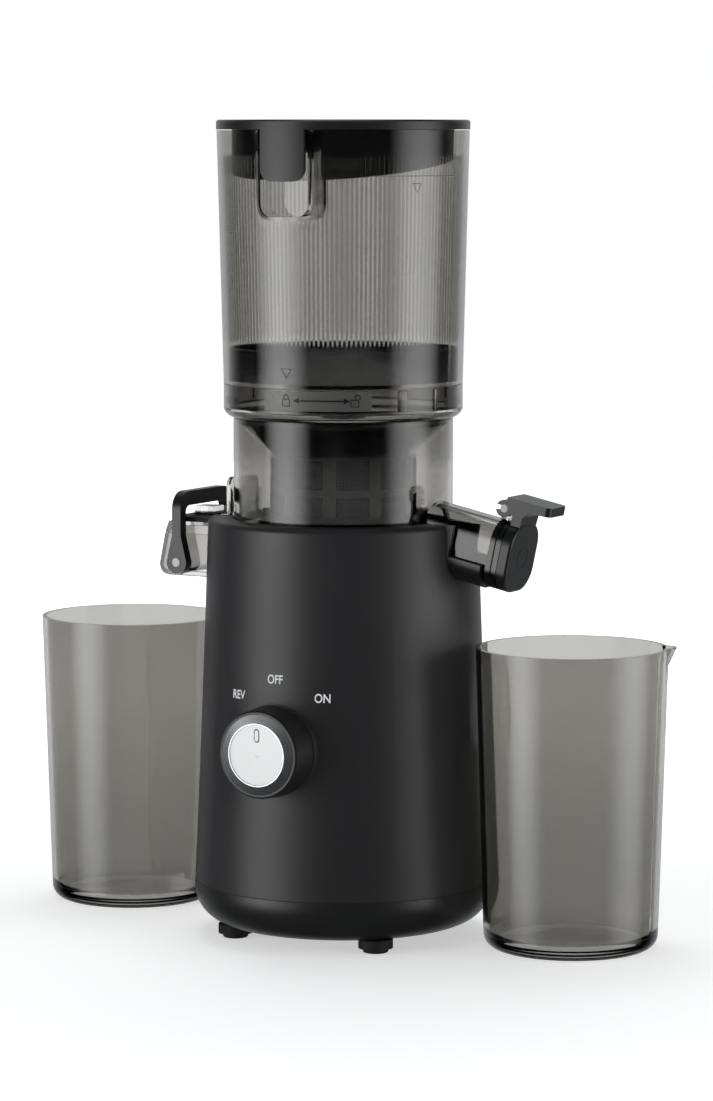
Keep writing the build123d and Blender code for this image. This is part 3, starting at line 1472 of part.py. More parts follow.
def cup(name, place, with_lip):
    """One cup, with or without a pouring lip in its rim."""
    with BuildPart() as piece:
        with BuildSketch(Plane.XZ) as outside:
            cup_outline(0)
        revolve(outside.sketch, axis=Axis.Z)
        lip_place = around(cup_top_radius + lip_reach - lip_radius, 1, lip_angle)[0]
        lip_plane = Plane(origin=(*lip_place, cup_height), z_dir=(0, 0, -1))
        if with_lip:
            with Locations(lip_plane):
                Cone(lip_radius, lip_tip, lip_height, align=(Align.CENTER, Align.CENTER, Align.MIN))
        with BuildSketch(Plane.XZ) as inside:
            cup_outline(cup_wall)
        revolve(inside.sketch, axis=Axis.Z, mode=Mode.SUBTRACT)
        if with_lip:
            with Locations(lip_plane.offset(-press_gap)):
                Cone(lip_radius - cup_wall, lip_tip_inner, lip_height - lip_floor,
                     align=(Align.CENTER, Align.CENTER, Align.MIN), mode=Mode.SUBTRACT)
    piece.part = piece.part.moved(Location((place[0], place[1], 0)))
    save(piece, name)


cup("juice_cup", juice_cup_place, True)
cup("pulp_cup", pulp_cup_place, False)
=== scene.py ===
import json
import math

import bmesh
import bpy
from mathutils import Matrix, Vector


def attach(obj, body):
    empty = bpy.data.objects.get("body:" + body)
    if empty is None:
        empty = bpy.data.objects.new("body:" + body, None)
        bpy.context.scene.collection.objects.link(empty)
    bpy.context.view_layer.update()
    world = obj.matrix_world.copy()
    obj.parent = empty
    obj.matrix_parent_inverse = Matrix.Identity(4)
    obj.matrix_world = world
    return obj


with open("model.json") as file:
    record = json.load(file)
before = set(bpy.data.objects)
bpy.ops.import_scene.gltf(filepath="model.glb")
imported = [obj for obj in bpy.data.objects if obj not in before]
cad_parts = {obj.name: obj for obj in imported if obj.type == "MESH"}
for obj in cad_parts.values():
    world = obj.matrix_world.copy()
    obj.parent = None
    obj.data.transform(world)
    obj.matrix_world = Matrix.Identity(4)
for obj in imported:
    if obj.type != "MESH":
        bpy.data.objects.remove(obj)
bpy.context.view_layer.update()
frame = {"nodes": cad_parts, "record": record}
print("frame loaded:", len(frame["nodes"]), "parts")

mm = 0.001
scene = bpy.context.scene


def linear(hexText):
    # an sRGB hex value as the linear colour that a shader works in
    out = []
    for place in (1, 3, 5):
        share = int(hexText[place:place + 2], 16) / 255
        out.append(share / 12.92 if share <= 0.04045 else ((share + 0.055) / 1.055) ** 2.4)
    return (out[0], out[1], out[2], 1.0)


def addNode(tree, kind, inputs=None, **settings):
    # one node: its settings by name, then each input as a value or as a link (node, output)
    node = tree.nodes.new(kind)
    for name, value in settings.items():
        setattr(node, name, value)
    for name, value in (inputs or {}).items():
        if isinstance(value, tuple) and isinstance(value[0], bpy.types.Node):
            tree.links.new(value[0].outputs[value[1]], node.inputs[name])
        else:
            node.inputs[name].default_value = value
    return node


camera = {
    "swing": 28.5,          # degrees round from the front
    "pitch": 6.0009,        # degrees down
    "distance": 2.2,
    "height": 0.44442,
    "aside": 0.00729,
    "lens": 130.8,
    "sensor": 36.0,
}
swing = math.radians(camera["swing"])
toCamera = Vector((math.sin(swing), -math.cos(swing), 0.0))
toRight = Vector((math.cos(swing), math.sin(swing), 0.0))


def aimAt(thing, target):
    # the thing looks along its own -Z
    away = Vector(target) - thing.location
    thing.rotation_mode = "QUATERNION"
    thing.rotation_quaternion = away.to_track_quat("-Z", "Y")


def makeCamera():
    lens = bpy.data.cameras.new("studioCamera")
    lens.sensor_width = camera["sensor"]
    lens.lens = camera["lens"]
    lens.dof.use_dof = False
    body = bpy.data.objects.new("studioCamera", lens)
    scene.collection.objects.link(body)
    body.location = toRight * camera["aside"] + toCamera * camera["distance"]
    body.location.z = camera["height"]
    pitch = math.radians(camera["pitch"])
    ahead = -toCamera * math.cos(pitch) - Vector((0, 0, 1)) * math.sin(pitch)
    aimAt(body, body.location + ahead)
    scene.camera = body


makeCamera()

softBoxes = {
    # degrees right of the camera, height, distance, width, tall, aimed height, radiance
    "keyLeft": (-61, 0.1, 1.5, 1.75, 1.6, 0.1, 1.1),
    "fillRight": (73, 0.1, 1.5, 1.9, 1.6, 0.1, 0.9),
    "overhead": (10, 1.75, -0.45, 1.2, 1.2, 0.2, 1.8),
}
boxFade = {
    "peak": 16.0,       # brings x (1 - x) y (1 - y) to one in the middle
    "power": 2.0,       # how soon the light falls off
    "gain": 3.5,        # makes up for what the soft edge takes from a box's mean brightness
}


def fadeOut(tree):
    # a soft box is brightest in its middle and fades out to its edges
    tree.nodes.clear()
    place = addNode(tree, "ShaderNodeNewGeometry")
    rest = addNode(tree, "ShaderNodeVectorMath",
                   {0: (1.0, 1.0, 1.0), 1: (place, "Parametric")}, operation="SUBTRACT")
    bulge = addNode(tree, "ShaderNodeVectorMath",
                    {0: (place, "Parametric"), 1: (rest, 0)}, operation="MULTIPLY")
    split = addNode(tree, "ShaderNodeSeparateXYZ", {0: (bulge, 0)})
    both = addNode(tree, "ShaderNodeMath",
                   {0: (split, "X"), 1: (split, "Y")}, operation="MULTIPLY")
    level = both
    for operation, amount in (("MULTIPLY", "peak"), ("POWER", "power"), ("MULTIPLY", "gain")):
        level = addNode(tree, "ShaderNodeMath",
                        {0: (level, 0), 1: boxFade[amount]}, operation=operation)
    light = addNode(tree, "ShaderNodeEmission", {"Strength": (level, 0)})
    addNode(tree, "ShaderNodeOutputLight", {"Surface": (light, 0)})


def makeSoftBoxes():
    for name, (turn, height, distance, width, tall, aimed, radiance) in softBoxes.items():
        turn = math.radians(turn)
        lamp = bpy.data.lights.new(name, "AREA")
        lamp.shape = "RECTANGLE"
        lamp.size = width
        lamp.size_y = tall
        lamp.energy = radiance * math.pi * width * tall
        lamp.use_nodes = True
        fadeOut(lamp.node_tree)
        body = bpy.data.objects.new(name, lamp)
        scene.collection.objects.link(body)
        body.location = (toCamera * math.cos(turn) + toRight * math.sin(turn)) * distance
        body.location.z = height
        aimAt(body, (0.0, 0.0, aimed))
        body.visible_camera = False
        body.visible_transmission = False


makeSoftBoxes()

room = {
    "dark": "#17181a",                  # mirrored on the camera's side
    "bright": "#c4c6c8",                # mirrored from the paper sweep behind
    "from": 0.4, "to": 1.0,             # where one turns into the other, along the view
    "fill": "#86888c",                  # what rough faces are lit by
    "backdrop": "#ffffff",
}


def makeWorld():
    # white behind everything that is looked at or looked through; what the object mirrors is
    # a dark room on the camera's side and the white paper sweep behind, and what its rough
    # faces gather is an even grey
    world = bpy.data.worlds.new("studio")
    scene.world = world
    world.use_nodes = True
    tree = world.node_tree
    tree.nodes.clear()
    place = addNode(tree, "ShaderNodeTexCoord")
    behind = addNode(tree, "ShaderNodeVectorMath",
                     {0: (place, "Generated"), 1: tuple(-toCamera)}, operation="DOT_PRODUCT")
    share = addNode(tree, "ShaderNodeMapRange", {
        "Value": (behind, "Value"), "From Min": room["from"], "From Max": room["to"],
    }, interpolation_type="SMOOTHSTEP")
    mirrored = addNode(tree, "ShaderNodeMix", {
        0: (share, 0), 6: linear(room["dark"]), 7: linear(room["bright"])}, data_type="RGBA")
    path = addNode(tree, "ShaderNodeLightPath")
    # 0.5 tells one bounce or more from none
    glossed = addNode(tree, "ShaderNodeMath",
                      {0: (path, "Glossy Depth"), 1: 0.5}, operation="GREATER_THAN")
    lit = addNode(tree, "ShaderNodeMath",
                  {0: (path, "Diffuse Depth"), 1: 0.5}, operation="GREATER_THAN")
    around = addNode(tree, "ShaderNodeMix", {
        0: (lit, 0), 6: (mirrored, 2), 7: linear(room["fill"])}, data_type="RGBA")
    turned = addNode(tree, "ShaderNodeMath", {0: (glossed, 0), 1: (lit, 0)}, operation="MAXIMUM")
    seen = addNode(tree, "ShaderNodeMath", {0: 1.0, 1: (turned, 0)}, operation="SUBTRACT")
    dim = addNode(tree, "ShaderNodeBackground", {"Color": (around, 2), "Strength": 1.0})
    white = addNode(tree, "ShaderNodeBackground", {
        "Color": linear(room["backdrop"]), "Strength": 1.0})
    mixed = addNode(tree, "ShaderNodeMixShader", {0: (seen, 0), 1: (dim, 0), 2: (white, 0)})
    addNode(tree, "ShaderNodeOutputWorld", {"Surface": (mixed, 0)})


makeWorld()
scene.view_settings.view_transform = "Standard"

paper = {
    "radius": 3.2, "segments": 128,
    "glowFrom": 0.2, "glowTo": 1.1,     # the reach over which the paper fades into the backdrop
    "glowLow": 0.5, "glowHigh": 1.0,
    "colour": "#f1f1f0", "fade": "#ffffff",
    "grain": 900.0, "depth": 0.04, "strength": 0.3,     # grains per metre, mm
}


def makeFloor():
    bm = bmesh.new()
    bmesh.ops.create_circle(bm, cap_ends=True, segments=paper["segments"], radius=paper["radius"])
    mesh = bpy.data.meshes.new("studioFloor")
    bm.to_mesh(mesh)
    bm.free()
    ground = bpy.data.objects.new("studioFloor", mesh)
    scene.collection.objects.link(ground)
    ground.visible_glossy = False
    mat = bpy.data.materials.new("matt white paper sweep")
    mat.use_nodes = True
    tree = mat.node_tree
    tree.nodes.clear()
    place = addNode(tree, "ShaderNodeTexCoord")
    reach = addNode(tree, "ShaderNodeVectorMath", {0: (place, "Object")}, operation="LENGTH")
    glow = addNode(tree, "ShaderNodeMapRange", {
        "Value": (reach, "Value"),
        "From Min": paper["glowFrom"], "From Max": paper["glowTo"],
        "To Min": paper["glowLow"], "To Max": paper["glowHigh"],
    }, interpolation_type="SMOOTHSTEP")
    grain = addNode(tree, "ShaderNodeTexNoise", {
        "Vector": (place, "Object"), "Scale": paper["grain"], "Detail": 2.0})
    lift = addNode(tree, "ShaderNodeBump", {
        "Height": (grain, 0), "Distance": paper["depth"] * mm, "Strength": paper["strength"]})
    sheet = addNode(tree, "ShaderNodeBsdfDiffuse", {
        "Color": linear(paper["colour"]), "Normal": (lift, 0)})
    light = addNode(tree, "ShaderNodeEmission", {
        "Color": linear(paper["fade"]), "Strength": (glow, 0)})
    both = addNode(tree, "ShaderNodeAddShader", {0: (sheet, 0), 1: (light, 0)})
    addNode(tree, "ShaderNodeOutputMaterial", {"Surface": (both, 0)})
    mesh.materials.append(mat)


makeFloor()
print("studio ready")


def startMaterial(name):
    mat = bpy.data.materials.new(name)
    mat.use_nodes = True
    mat.node_tree.nodes.clear()
    return mat


glossRange = {
    # the levels of the pattern between which the gloss changes, and by what share of itself
    "moulded": {"from": 0.25, "to": 0.75, "share": 0.12},
    "clear": {"from": 0.3, "to": 0.7, "share": 0.4},
    "drawn": {"from": 0.3, "to": 0.7, "share": 0.25},
    "turned": {"from": 0.0, "to": 1.0, "share": 0.2},
}


def glossInputs(pattern, roughness, kind):
    reach = glossRange[kind]
    return {"Value": pattern, "From Min": reach["from"], "From Max": reach["to"],
            "To Min": roughness * (1 - reach["share"]), "To Max": roughness * (1 + reach["share"])}


def mouldedPlastic(name, colour, shade, roughness, grain, depth, swirl=60.0, ior=1.53, coat=0.0):
    # a moulded part: flow swirls in its tone and gloss, and the tool's fine grain;
    # the sizes of swirl and grain and the grain's depth are in mm
    mat = startMaterial(name)
    tree = mat.node_tree
    place = addNode(tree, "ShaderNodeTexCoord")
    flow = addNode(tree, "ShaderNodeTexNoise", {
        "Vector": (place, "Object"), "Scale": 1 / (swirl * mm), "Detail": 3.0, "Distortion": 0.6})
    tone = addNode(tree, "ShaderNodeMix", {
        0: (flow, 0), 6: linear(colour), 7: linear(shade)}, data_type="RGBA")
    gloss = addNode(tree, "ShaderNodeMapRange", glossInputs((flow, 0), roughness, "moulded"))
    fine = addNode(tree, "ShaderNodeTexNoise", {
        "Vector": (place, "Object"), "Scale": 1 / (grain * mm), "Detail": 2.0})
    skin = addNode(tree, "ShaderNodeBump", {
        "Height": (fine, 0), "Distance": depth * mm, "Strength": 1.0})
    shader = addNode(tree, "ShaderNodeBsdfPrincipled", {
        "Base Color": (tone, 2), "Roughness": (gloss, 0), "IOR": ior, "Coat Weight": coat,
        "Coat Roughness": 0.08, "Normal": (skin, 0)})
    addNode(tree, "ShaderNodeOutputMaterial", {"Surface": (shader, 0)})
    return mat


def clearPlastic(name, tint, deep, roughness, ior, ripple, depth, lampTint, clarity=1.0):
    # a polished see-through moulding: the tint is what one wall lets through at each face,
    # with a slow ripple from the tool; to lamps it is a plain filter, so that they light
    # what is inside
    mat = startMaterial(name)
    tree = mat.node_tree
    place = addNode(tree, "ShaderNodeTexCoord")
    flow = addNode(tree, "ShaderNodeTexNoise", {
        "Vector": (place, "Object"), "Scale": 1 / (ripple * mm), "Detail": 2.0, "Distortion": 0.4})
    tone = addNode(tree, "ShaderNodeMix", {
        0: (flow, 0), 6: linear(tint), 7: linear(deep)}, data_type="RGBA")
    gloss = addNode(tree, "ShaderNodeMapRange", glossInputs((flow, 0), roughness, "clear"))
    skin = addNode(tree, "ShaderNodeBump", {
        "Height": (flow, 0), "Distance": depth * mm, "Strength": 1.0})
    shader = addNode(tree, "ShaderNodeBsdfPrincipled", {
        "Base Color": (tone, 2), "Roughness": (gloss, 0), "IOR": ior,
        "Transmission Weight": clarity, "Normal": (skin, 0)})
    path = addNode(tree, "ShaderNodeLightPath")
    lamp = addNode(tree, "ShaderNodeBsdfTransparent", {"Color": linear(lampTint)})
    both = addNode(tree, "ShaderNodeMixShader", {
        0: (path, "Is Shadow Ray"), 1: (shader, 0), 2: (lamp, 0)})
    addNode(tree, "ShaderNodeOutputMaterial", {"Surface": (both, 0)})
    return mat


def metal(name, colour, shade, roughness, stretch, fine, depth):
    # a metal whose making left lines or grain: stretch is the pattern's size in mm along
    # X, Y and Z
    mat = startMaterial(name)
    tree = mat.node_tree
    place = addNode(tree, "ShaderNodeTexCoord")
    turned = addNode(tree, "ShaderNodeMapping", {
        "Vector": (place, "Object"), "Scale": tuple(1 / (size * mm) for size in stretch)})
    lines = addNode(tree, "ShaderNodeTexNoise", {
        "Vector": (turned, 0), "Scale": 1.0, "Detail": 3.0})
    tone = addNode(tree, "ShaderNodeMix", {
        0: (lines, 0), 6: linear(colour), 7: linear(shade)}, data_type="RGBA")
    gloss = addNode(tree, "ShaderNodeMapRange", glossInputs((lines, 0), roughness, "drawn"))
    grain = addNode(tree, "ShaderNodeTexNoise", {
        "Vector": (place, "Object"), "Scale": 1 / (fine * mm)})
    height = addNode(tree, "ShaderNodeMath", {0: (lines, 0), 1: (grain, 0)}, operation="ADD")
    skin = addNode(tree, "ShaderNodeBump", {
        "Height": (height, 0), "Distance": depth * mm, "Strength": 1.0})
    shader = addNode(tree, "ShaderNodeBsdfPrincipled", {
        "Base Color": (tone, 2), "Roughness": (gloss, 0), "Metallic": 1.0, "Normal": (skin, 0)})
    addNode(tree, "ShaderNodeOutputMaterial", {"Surface": (shader, 0)})
    return mat


def turnedMetal(name, colour, shade, roughness, spacing, depth, fan, centre):
    # rings left by the lathe tool round an axis along Y through centre: each lamp spreads
    # into a fan across the grooves
    mat = startMaterial(name)
    tree = mat.node_tree
    place = addNode(tree, "ShaderNodeTexCoord")
    middle = addNode(tree, "ShaderNodeVectorMath",
                     {0: (place, "Object"), 1: centre}, operation="SUBTRACT")
    flat = addNode(tree, "ShaderNodeVectorMath",
                   {0: (middle, 0), 1: (1.0, 0.0, 1.0)}, operation="MULTIPLY")
    reach = addNode(tree, "ShaderNodeVectorMath", {0: (flat, 0)}, operation="LENGTH")
    outward = addNode(tree, "ShaderNodeVectorMath", {0: (flat, 0)}, operation="NORMALIZE")
    rings = addNode(tree, "ShaderNodeTexNoise", {
        "W": (reach, "Value"), "Scale": 1 / (spacing * mm), "Detail": 2.0}, noise_dimensions="1D")
    tone = addNode(tree, "ShaderNodeMix", {
        0: (rings, 0), 6: linear(colour), 7: linear(shade)}, data_type="RGBA")
    gloss = addNode(tree, "ShaderNodeMapRange", glossInputs((rings, 0), roughness, "turned"))
    skin = addNode(tree, "ShaderNodeBump", {
        "Height": (rings, 0), "Distance": depth * mm, "Strength": 1.0})
    shader = addNode(tree, "ShaderNodeBsdfPrincipled", {
        "Base Color": (tone, 2), "Roughness": (gloss, 0), "Metallic": 1.0, "Anisotropic": fan,
        "Tangent": (outward, 0), "Normal": (skin, 0)})
    addNode(tree, "ShaderNodeOutputMaterial", {"Surface": (shader, 0)})
    return mat


def waveScale(pitch):
    # a wave texture has one band every pitch mm at this scale
    return math.pi / (10 * pitch * mm)


def banded(name, colour, gap, roughness, pitch, depth, metallic):
    # stacked plates or wound wire: bands that repeat up the shaft every pitch mm
    mat = startMaterial(name)
    tree = mat.node_tree
    place = addNode(tree, "ShaderNodeTexCoord")
    bands = addNode(tree, "ShaderNodeTexWave", {
        "Vector": (place, "Object"), "Scale": waveScale(pitch), "Distortion": 0.4, "Detail": 1.0,
    }, wave_type="BANDS", bands_direction="Z")
    tone = addNode(tree, "ShaderNodeMix", {
        0: (bands, 1), 6: linear(gap), 7: linear(colour)}, data_type="RGBA")
    skin = addNode(tree, "ShaderNodeBump", {
        "Height": (bands, 1), "Distance": depth * mm, "Strength": 1.0})
    shader = addNode(tree, "ShaderNodeBsdfPrincipled", {
        "Base Color": (tone, 2), "Roughness": roughness, "Metallic": metallic, "Normal": (skin, 0)})
    addNode(tree, "ShaderNodeOutputMaterial", {"Surface": (shader, 0)})
    return mat


cloth = {"pitch": 1.0, "depth": 0.03, "dark": "#244a29", "light": "#386a3c",
         "roughness": 0.34, "ior": 1.55}


def circuitBoard():
    # glass cloth under green solder resist: a fine cross weave and a soft gloss
    mat = startMaterial("green solder resist on glass cloth")
    tree = mat.node_tree
    place = addNode(tree, "ShaderNodeTexCoord")
    warp, weft = [addNode(tree, "ShaderNodeTexWave", {
        "Vector": (place, "Object"), "Scale": waveScale(cloth["pitch"]),
    }, wave_type="BANDS", bands_direction=along) for along in ("X", "Z")]
    weave = addNode(tree, "ShaderNodeMath", {0: (warp, 1), 1: (weft, 1)}, operation="MULTIPLY")
    tone = addNode(tree, "ShaderNodeMix", {
        0: (weave, 0), 6: linear(cloth["dark"]), 7: linear(cloth["light"])}, data_type="RGBA")
    skin = addNode(tree, "ShaderNodeBump", {
        "Height": (weave, 0), "Distance": cloth["depth"] * mm, "Strength": 1.0})
    shader = addNode(tree, "ShaderNodeBsdfPrincipled", {
        "Base Color": (tone, 2), "Roughness": cloth["roughness"], "IOR": cloth["ior"],
        "Normal": (skin, 0)})
    addNode(tree, "ShaderNodeOutputMaterial", {"Surface": (shader, 0)})
    return mat


screen = {
    "columns": 160, "rowPitch": 1.6,        # drawn 1.6 mm apart, not 0.5 mm, so that the rows show
    "holeFrom": 0.22, "holeTo": 0.32,       # a hole's soft edge, in shares of its cell
    "hole": "#141415", "web": "#47494b", "roughness": 0.3, "depth": 0.1,
}


def filterScreen():
    # etched stainless screen round the strainer: rows of small holes
    mat = startMaterial("etched stainless filter screen")
    tree = mat.node_tree
    place = addNode(tree, "ShaderNodeTexCoord")
    split = addNode(tree, "ShaderNodeSeparateXYZ", {"Vector": (place, "Object")})
    turn = addNode(tree, "ShaderNodeMath",
                   {0: (split, "Y"), 1: (split, "X")}, operation="ARCTAN2")
    column = addNode(tree, "ShaderNodeMath",
                     {0: (turn, 0), 1: screen["columns"] / (2 * math.pi)}, operation="MULTIPLY")
    row = addNode(tree, "ShaderNodeMath",
                  {0: (split, "Z"), 1: 1 / (screen["rowPitch"] * mm)}, operation="MULTIPLY")
    grid = addNode(tree, "ShaderNodeCombineXYZ", {"X": (column, 0), "Y": (row, 0)})
    cell = addNode(tree, "ShaderNodeVectorMath", {0: (grid, 0)}, operation="FRACTION")
    fromMiddle = addNode(tree, "ShaderNodeVectorMath",
                         {0: (cell, 0), 1: (0.5, 0.5, 0.0)}, operation="DISTANCE")
    web = addNode(tree, "ShaderNodeMapRange", {
        "Value": (fromMiddle, "Value"),
        "From Min": screen["holeFrom"], "From Max": screen["holeTo"]})
    tone = addNode(tree, "ShaderNodeMix", {
        0: (web, 0), 6: linear(screen["hole"]), 7: linear(screen["web"])}, data_type="RGBA")
    skin = addNode(tree, "ShaderNodeBump", {
        "Height": (web, 0), "Distance": screen["depth"] * mm, "Strength": 1.0})
    shader = addNode(tree, "ShaderNodeBsdfPrincipled", {
        "Base Color": (tone, 2), "Roughness": screen["roughness"], "Metallic": (web, 0),
        "Normal": (skin, 0)})
    addNode(tree, "ShaderNodeOutputMaterial", {"Surface": (shader, 0)})
    return mat


knobCentre = (0.0, -97.5 * mm, 112.0 * mm)
finishes = {
    # moulded: two close colours, roughness, then the grain's size and depth in mm
    # clear: tint and deeper tint, roughness, IOR, the ripple's size and depth, the lamps' tint
    # spark-eroded grain under a soft dark lacquer: an even satin grey, one broad soft highlight
    "housing_plastic": mouldedPlastic(
        "satin lacquered ABS", "#262628", "#242426", 0.42, 0.8, 0.006, swirl=90),
    # the tray below it is bare moulding, deeper and a little glossier
    "tray_plastic": mouldedPlastic(
        "satin black ABS", "#1d1d1e", "#191a1a", 0.36, 0.9, 0.006),
    # soft feet, seals and pads: matt with a dusty bloom
    "black_rubber": mouldedPlastic(
        "matt nitrile rubber", "#151515", "#1d1d1d", 0.72, 1.0, 0.02, swirl=12),
    # inner mouldings: an ordinary half gloss
    "black_plastic": mouldedPlastic(
        "moulded black nylon", "#141515", "#18191a", 0.30, 1.0, 0.006),
    # tool-polished cap, lever and bail: deep black with crisp reflections
    "gloss_black": mouldedPlastic(
        "polished black ABS", "#0e0f0f", "#0b0c0c", 0.16, 1.6, 0.004, coat=0.3),
    # the knob's skirt: like the tray, with a finer grain
    "knob_plastic": mouldedPlastic(
        "fine grained black ABS", "#1d1d1e", "#191a1a", 0.36, 0.8, 0.006, swirl=20),
    # the strainer's frame mirrors the studio in tall crisp streaks
    "strainer_plastic": mouldedPlastic(
        "glossy charcoal ABS", "#101111", "#0d0e0e", 0.17, 2.0, 0.004, swirl=25, coat=1.0),
    "auger_plastic": mouldedPlastic(
        "glossy polyetherimide resin", "#242525", "#1c1d1d", 0.22, 1.6, 0.006, swirl=15),
    # the lid is satin, lighter than the base where it catches the overhead light
    "lid_plastic": mouldedPlastic(
        "satin charcoal ABS", "#1f2020", "#1b1c1c", 0.30, 0.8, 0.005, swirl=50),
    # waxy, slightly warm white
    "gear_nylon": mouldedPlastic(
        "natural acetal", "#e6e2d6", "#dcd7c8", 0.38, 0.8, 0.004, swirl=10, ior=1.48),
    "ferrite": mouldedPlastic(
        "sintered ferrite", "#38383a", "#454547", 0.55, 0.7, 0.03, swirl=3),
    # painted pearl disc: cool silver white that stays bright in the studio
    "pearl_plastic": mouldedPlastic(
        "pearl silver paint", "#eff4f2", "#f4f7f5", 0.48, 0.7, 0.003, swirl=14),
    # smoky copolyester: polished, it mirrors and shows what is inside; satin, it blurs it
    "smoky_clear": clearPlastic(
        "polished smoky copolyester", "#cdccc9", "#c8c7c4", 0.04, 1.57, 18, 0.012, "#d2d2d0"),
    "smoky_plate": clearPlastic(
        "satin smoky copolyester", "#a3a3a1", "#9c9c9a", 0.26, 1.57, 40, 0.0, "#d2d2d0",
        clarity=0.94),
    # the cups' walls are thin, of a deeper tint and with a slow ripple
    "smoky_cup": clearPlastic(
        "smoky styrene acrylonitrile", "#adaca8", "#a8a7a3", 0.03, 1.57, 30, 0.02, "#cfcecb"),
    # drawn metals carry lines along their length, the casting an even grain
    "steel": metal(
        "bright zinc plated steel", "#b9babb", "#a4a5a6", 0.28, (0.8, 0.8, 8), 0.8, 0.004),
    "cast_alloy": metal(
        "die cast aluminium", "#a3a5a6", "#8f9192", 0.46, (3, 3, 3), 0.9, 0.03),
    "brass": metal(
        "drawn brass", "#b08d4f", "#a07f45", 0.30, (0.9, 0.9, 9), 0.9, 0.004),
    "lamination": banded(
        "stacked silicon steel plates", "#8a8c8f", "#3f4042", 0.36, 1.0, 0.08, 1.0),
    "copper": banded(
        "enamelled copper wire", "#b8703f", "#5c3218", 0.30, 1.2, 0.25, 1.0),
    # bright ring round the knob: lathe-turned and anodised
    "bright_metal": turnedMetal(
        "turned anodised aluminium", "#c2c4c6", "#b2b4b6", 0.26, 0.35, 0.0015, 0.75, knobCentre),
    "brushed_mesh": filterScreen(),
    "board": circuitBoard(),
}
# frosted ends of the pins that the cap and the bail swing on: pale against the black parts
frostedPin = clearPlastic("frosted clear copolyester", "#d9dad8", "#cfd0ce", 0.35, 1.57, 6, 0.01,
                          "#e4e4e2", clarity=0.35)
ownFinish = {
    "bail_pins": frostedPin,
    "cap_hinge_pin": frostedPin,
    # the funnel and the lid's skirt are seen through the hopper: black with a hard polish
    "hopper_funnel": mouldedPlastic(
        "polished black funnel ABS", "#0b0b0b", "#090909", 0.20, 1.6, 0.004, swirl=30),
    "lid_skirt": mouldedPlastic(
        "polished black lid ABS", "#101111", "#0d0e0e", 0.24, 1.6, 0.004, swirl=30),
    # the bowl's walls are thicker than the hopper's, which deepens the same tint
    "juicing_bowl": clearPlastic(
        "thick smoky copolyester", "#b7b6b3", "#b2b1ae", 0.04, 1.57, 18, 0.012, "#c8c8c6"),
}
slotOf = {row["node"]: row["material_slot"] for row in frame["record"]["subparts"]}
for nodeName, part in frame["nodes"].items():
    part.data.materials.clear()
    part.data.materials.append(ownFinish.get(nodeName) or finishes[slotOf[nodeName]])
print("materials on", len(slotOf), "parts")


joined = 0.001          # mm: corners nearer than this are one
sharpAngle = 35         # degrees: a steeper turn stays an edge


def finishPiece(name, bm, body, material, smooth=True):
    # doubles merged, normals outward, then a new object that rides on its body
    bmesh.ops.remove_doubles(bm, verts=bm.verts, dist=joined * mm)
    bmesh.ops.recalc_face_normals(bm, faces=bm.faces)
    mesh = bpy.data.meshes.new(name)
    bm.to_mesh(mesh)
    bm.free()
    piece = bpy.data.objects.new(name, mesh)
    scene.collection.objects.link(piece)
    mesh.materials.append(material)
    if smooth:
        mesh.polygons.foreach_set("use_smooth", [True] * len(mesh.polygons))
        mesh.set_sharp_from_angle(angle=math.radians(sharpAngle))
    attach(piece, body)


def newVerts(out):
    # the corners that an extrusion has grown
    return [v for v in out["geom"] if isinstance(v, bmesh.types.BMVert)]


def facesOf(verts):
    return list({f for v in verts for f in v.link_faces})


def moveAll(bm, verts, x, z):
    bmesh.ops.translate(bm, verts=verts, vec=(x, 0.0, z))


def turnAll(bm, verts, angle, axis):
    # round the origin
    bmesh.ops.rotate(bm, verts=verts, cent=(0, 0, 0), matrix=Matrix.Rotation(angle, 3, axis))


def pushOut(bm, thick):
    # a flat outline in XZ, faces toward -Y, becomes a sheet as thick as it stands out
    lifted = newVerts(bmesh.ops.extrude_face_region(bm, geom=bm.faces[:]))
    bmesh.ops.translate(bm, verts=lifted, vec=(0.0, -thick, 0.0))


def flatDisc(bm, width, height, segments):
    # an outline in XZ that fits width and height: a round, or with three segments a triangle
    made = bmesh.ops.create_circle(bm, cap_ends=True, segments=segments, radius=1.0)["verts"]
    turnAll(bm, made, math.pi / 2, "X")
    xs = [v.co.x for v in made]
    zs = [v.co.z for v in made]
    moveAll(bm, made, 0.0, -(max(zs) + min(zs)) / 2)
    fit = (width / (max(xs) - min(xs)), 1.0, height / (max(zs) - min(zs)))
    bmesh.ops.scale(bm, verts=made, vec=fit)
    return made


def hollowOut(bm, verts, line):
    # keeps only a rim of that width round each face that these corners span
    faces = facesOf(verts)
    bmesh.ops.inset_individual(bm, faces=faces, thickness=line)
    bmesh.ops.delete(bm, geom=faces, context="FACES")


def wrapRound(bm, radiusAt, turn, level):
    # bends flat work round the machine's axis: x becomes arc, z height, and -y stands out
    for v in bm.verts:
        z = v.co.z + level
        radius = radiusAt(z)
        angle = turn + v.co.x / radius
        out = radius - v.co.y
        v.co = Vector((out * math.cos(angle), out * math.sin(angle), z))


label = {
    "capHeight": 4.9, "capShare": 0.73,     # a capital's height, and its share of the font size
    "narrow": 0.80, "bold": 0.014, "ink": 0.03, "stand": 0.06,
    # right of and above the knob
    "places": {"REV": (-24.0, 28.3), "OFF": (0.5, 38.4), "ON": (27.2, 29.2)},
}
housingLine = ((82.5, 31.0), (78.2, 129.7), (74.6, 232.0))      # radius and height in mm


def housingRadius(z):
    # the housing's gently bowed side, as the parabola through its three radii
    (r0, z0), (r1, z1), (r2, z2) = housingLine
    z = z / mm
    return mm * (r0 * (z - z1) * (z - z2) / ((z0 - z1) * (z0 - z2))
                 + r1 * (z - z0) * (z - z2) / ((z1 - z0) * (z1 - z2))
                 + r2 * (z - z0) * (z - z1) / ((z2 - z0) * (z2 - z1)))


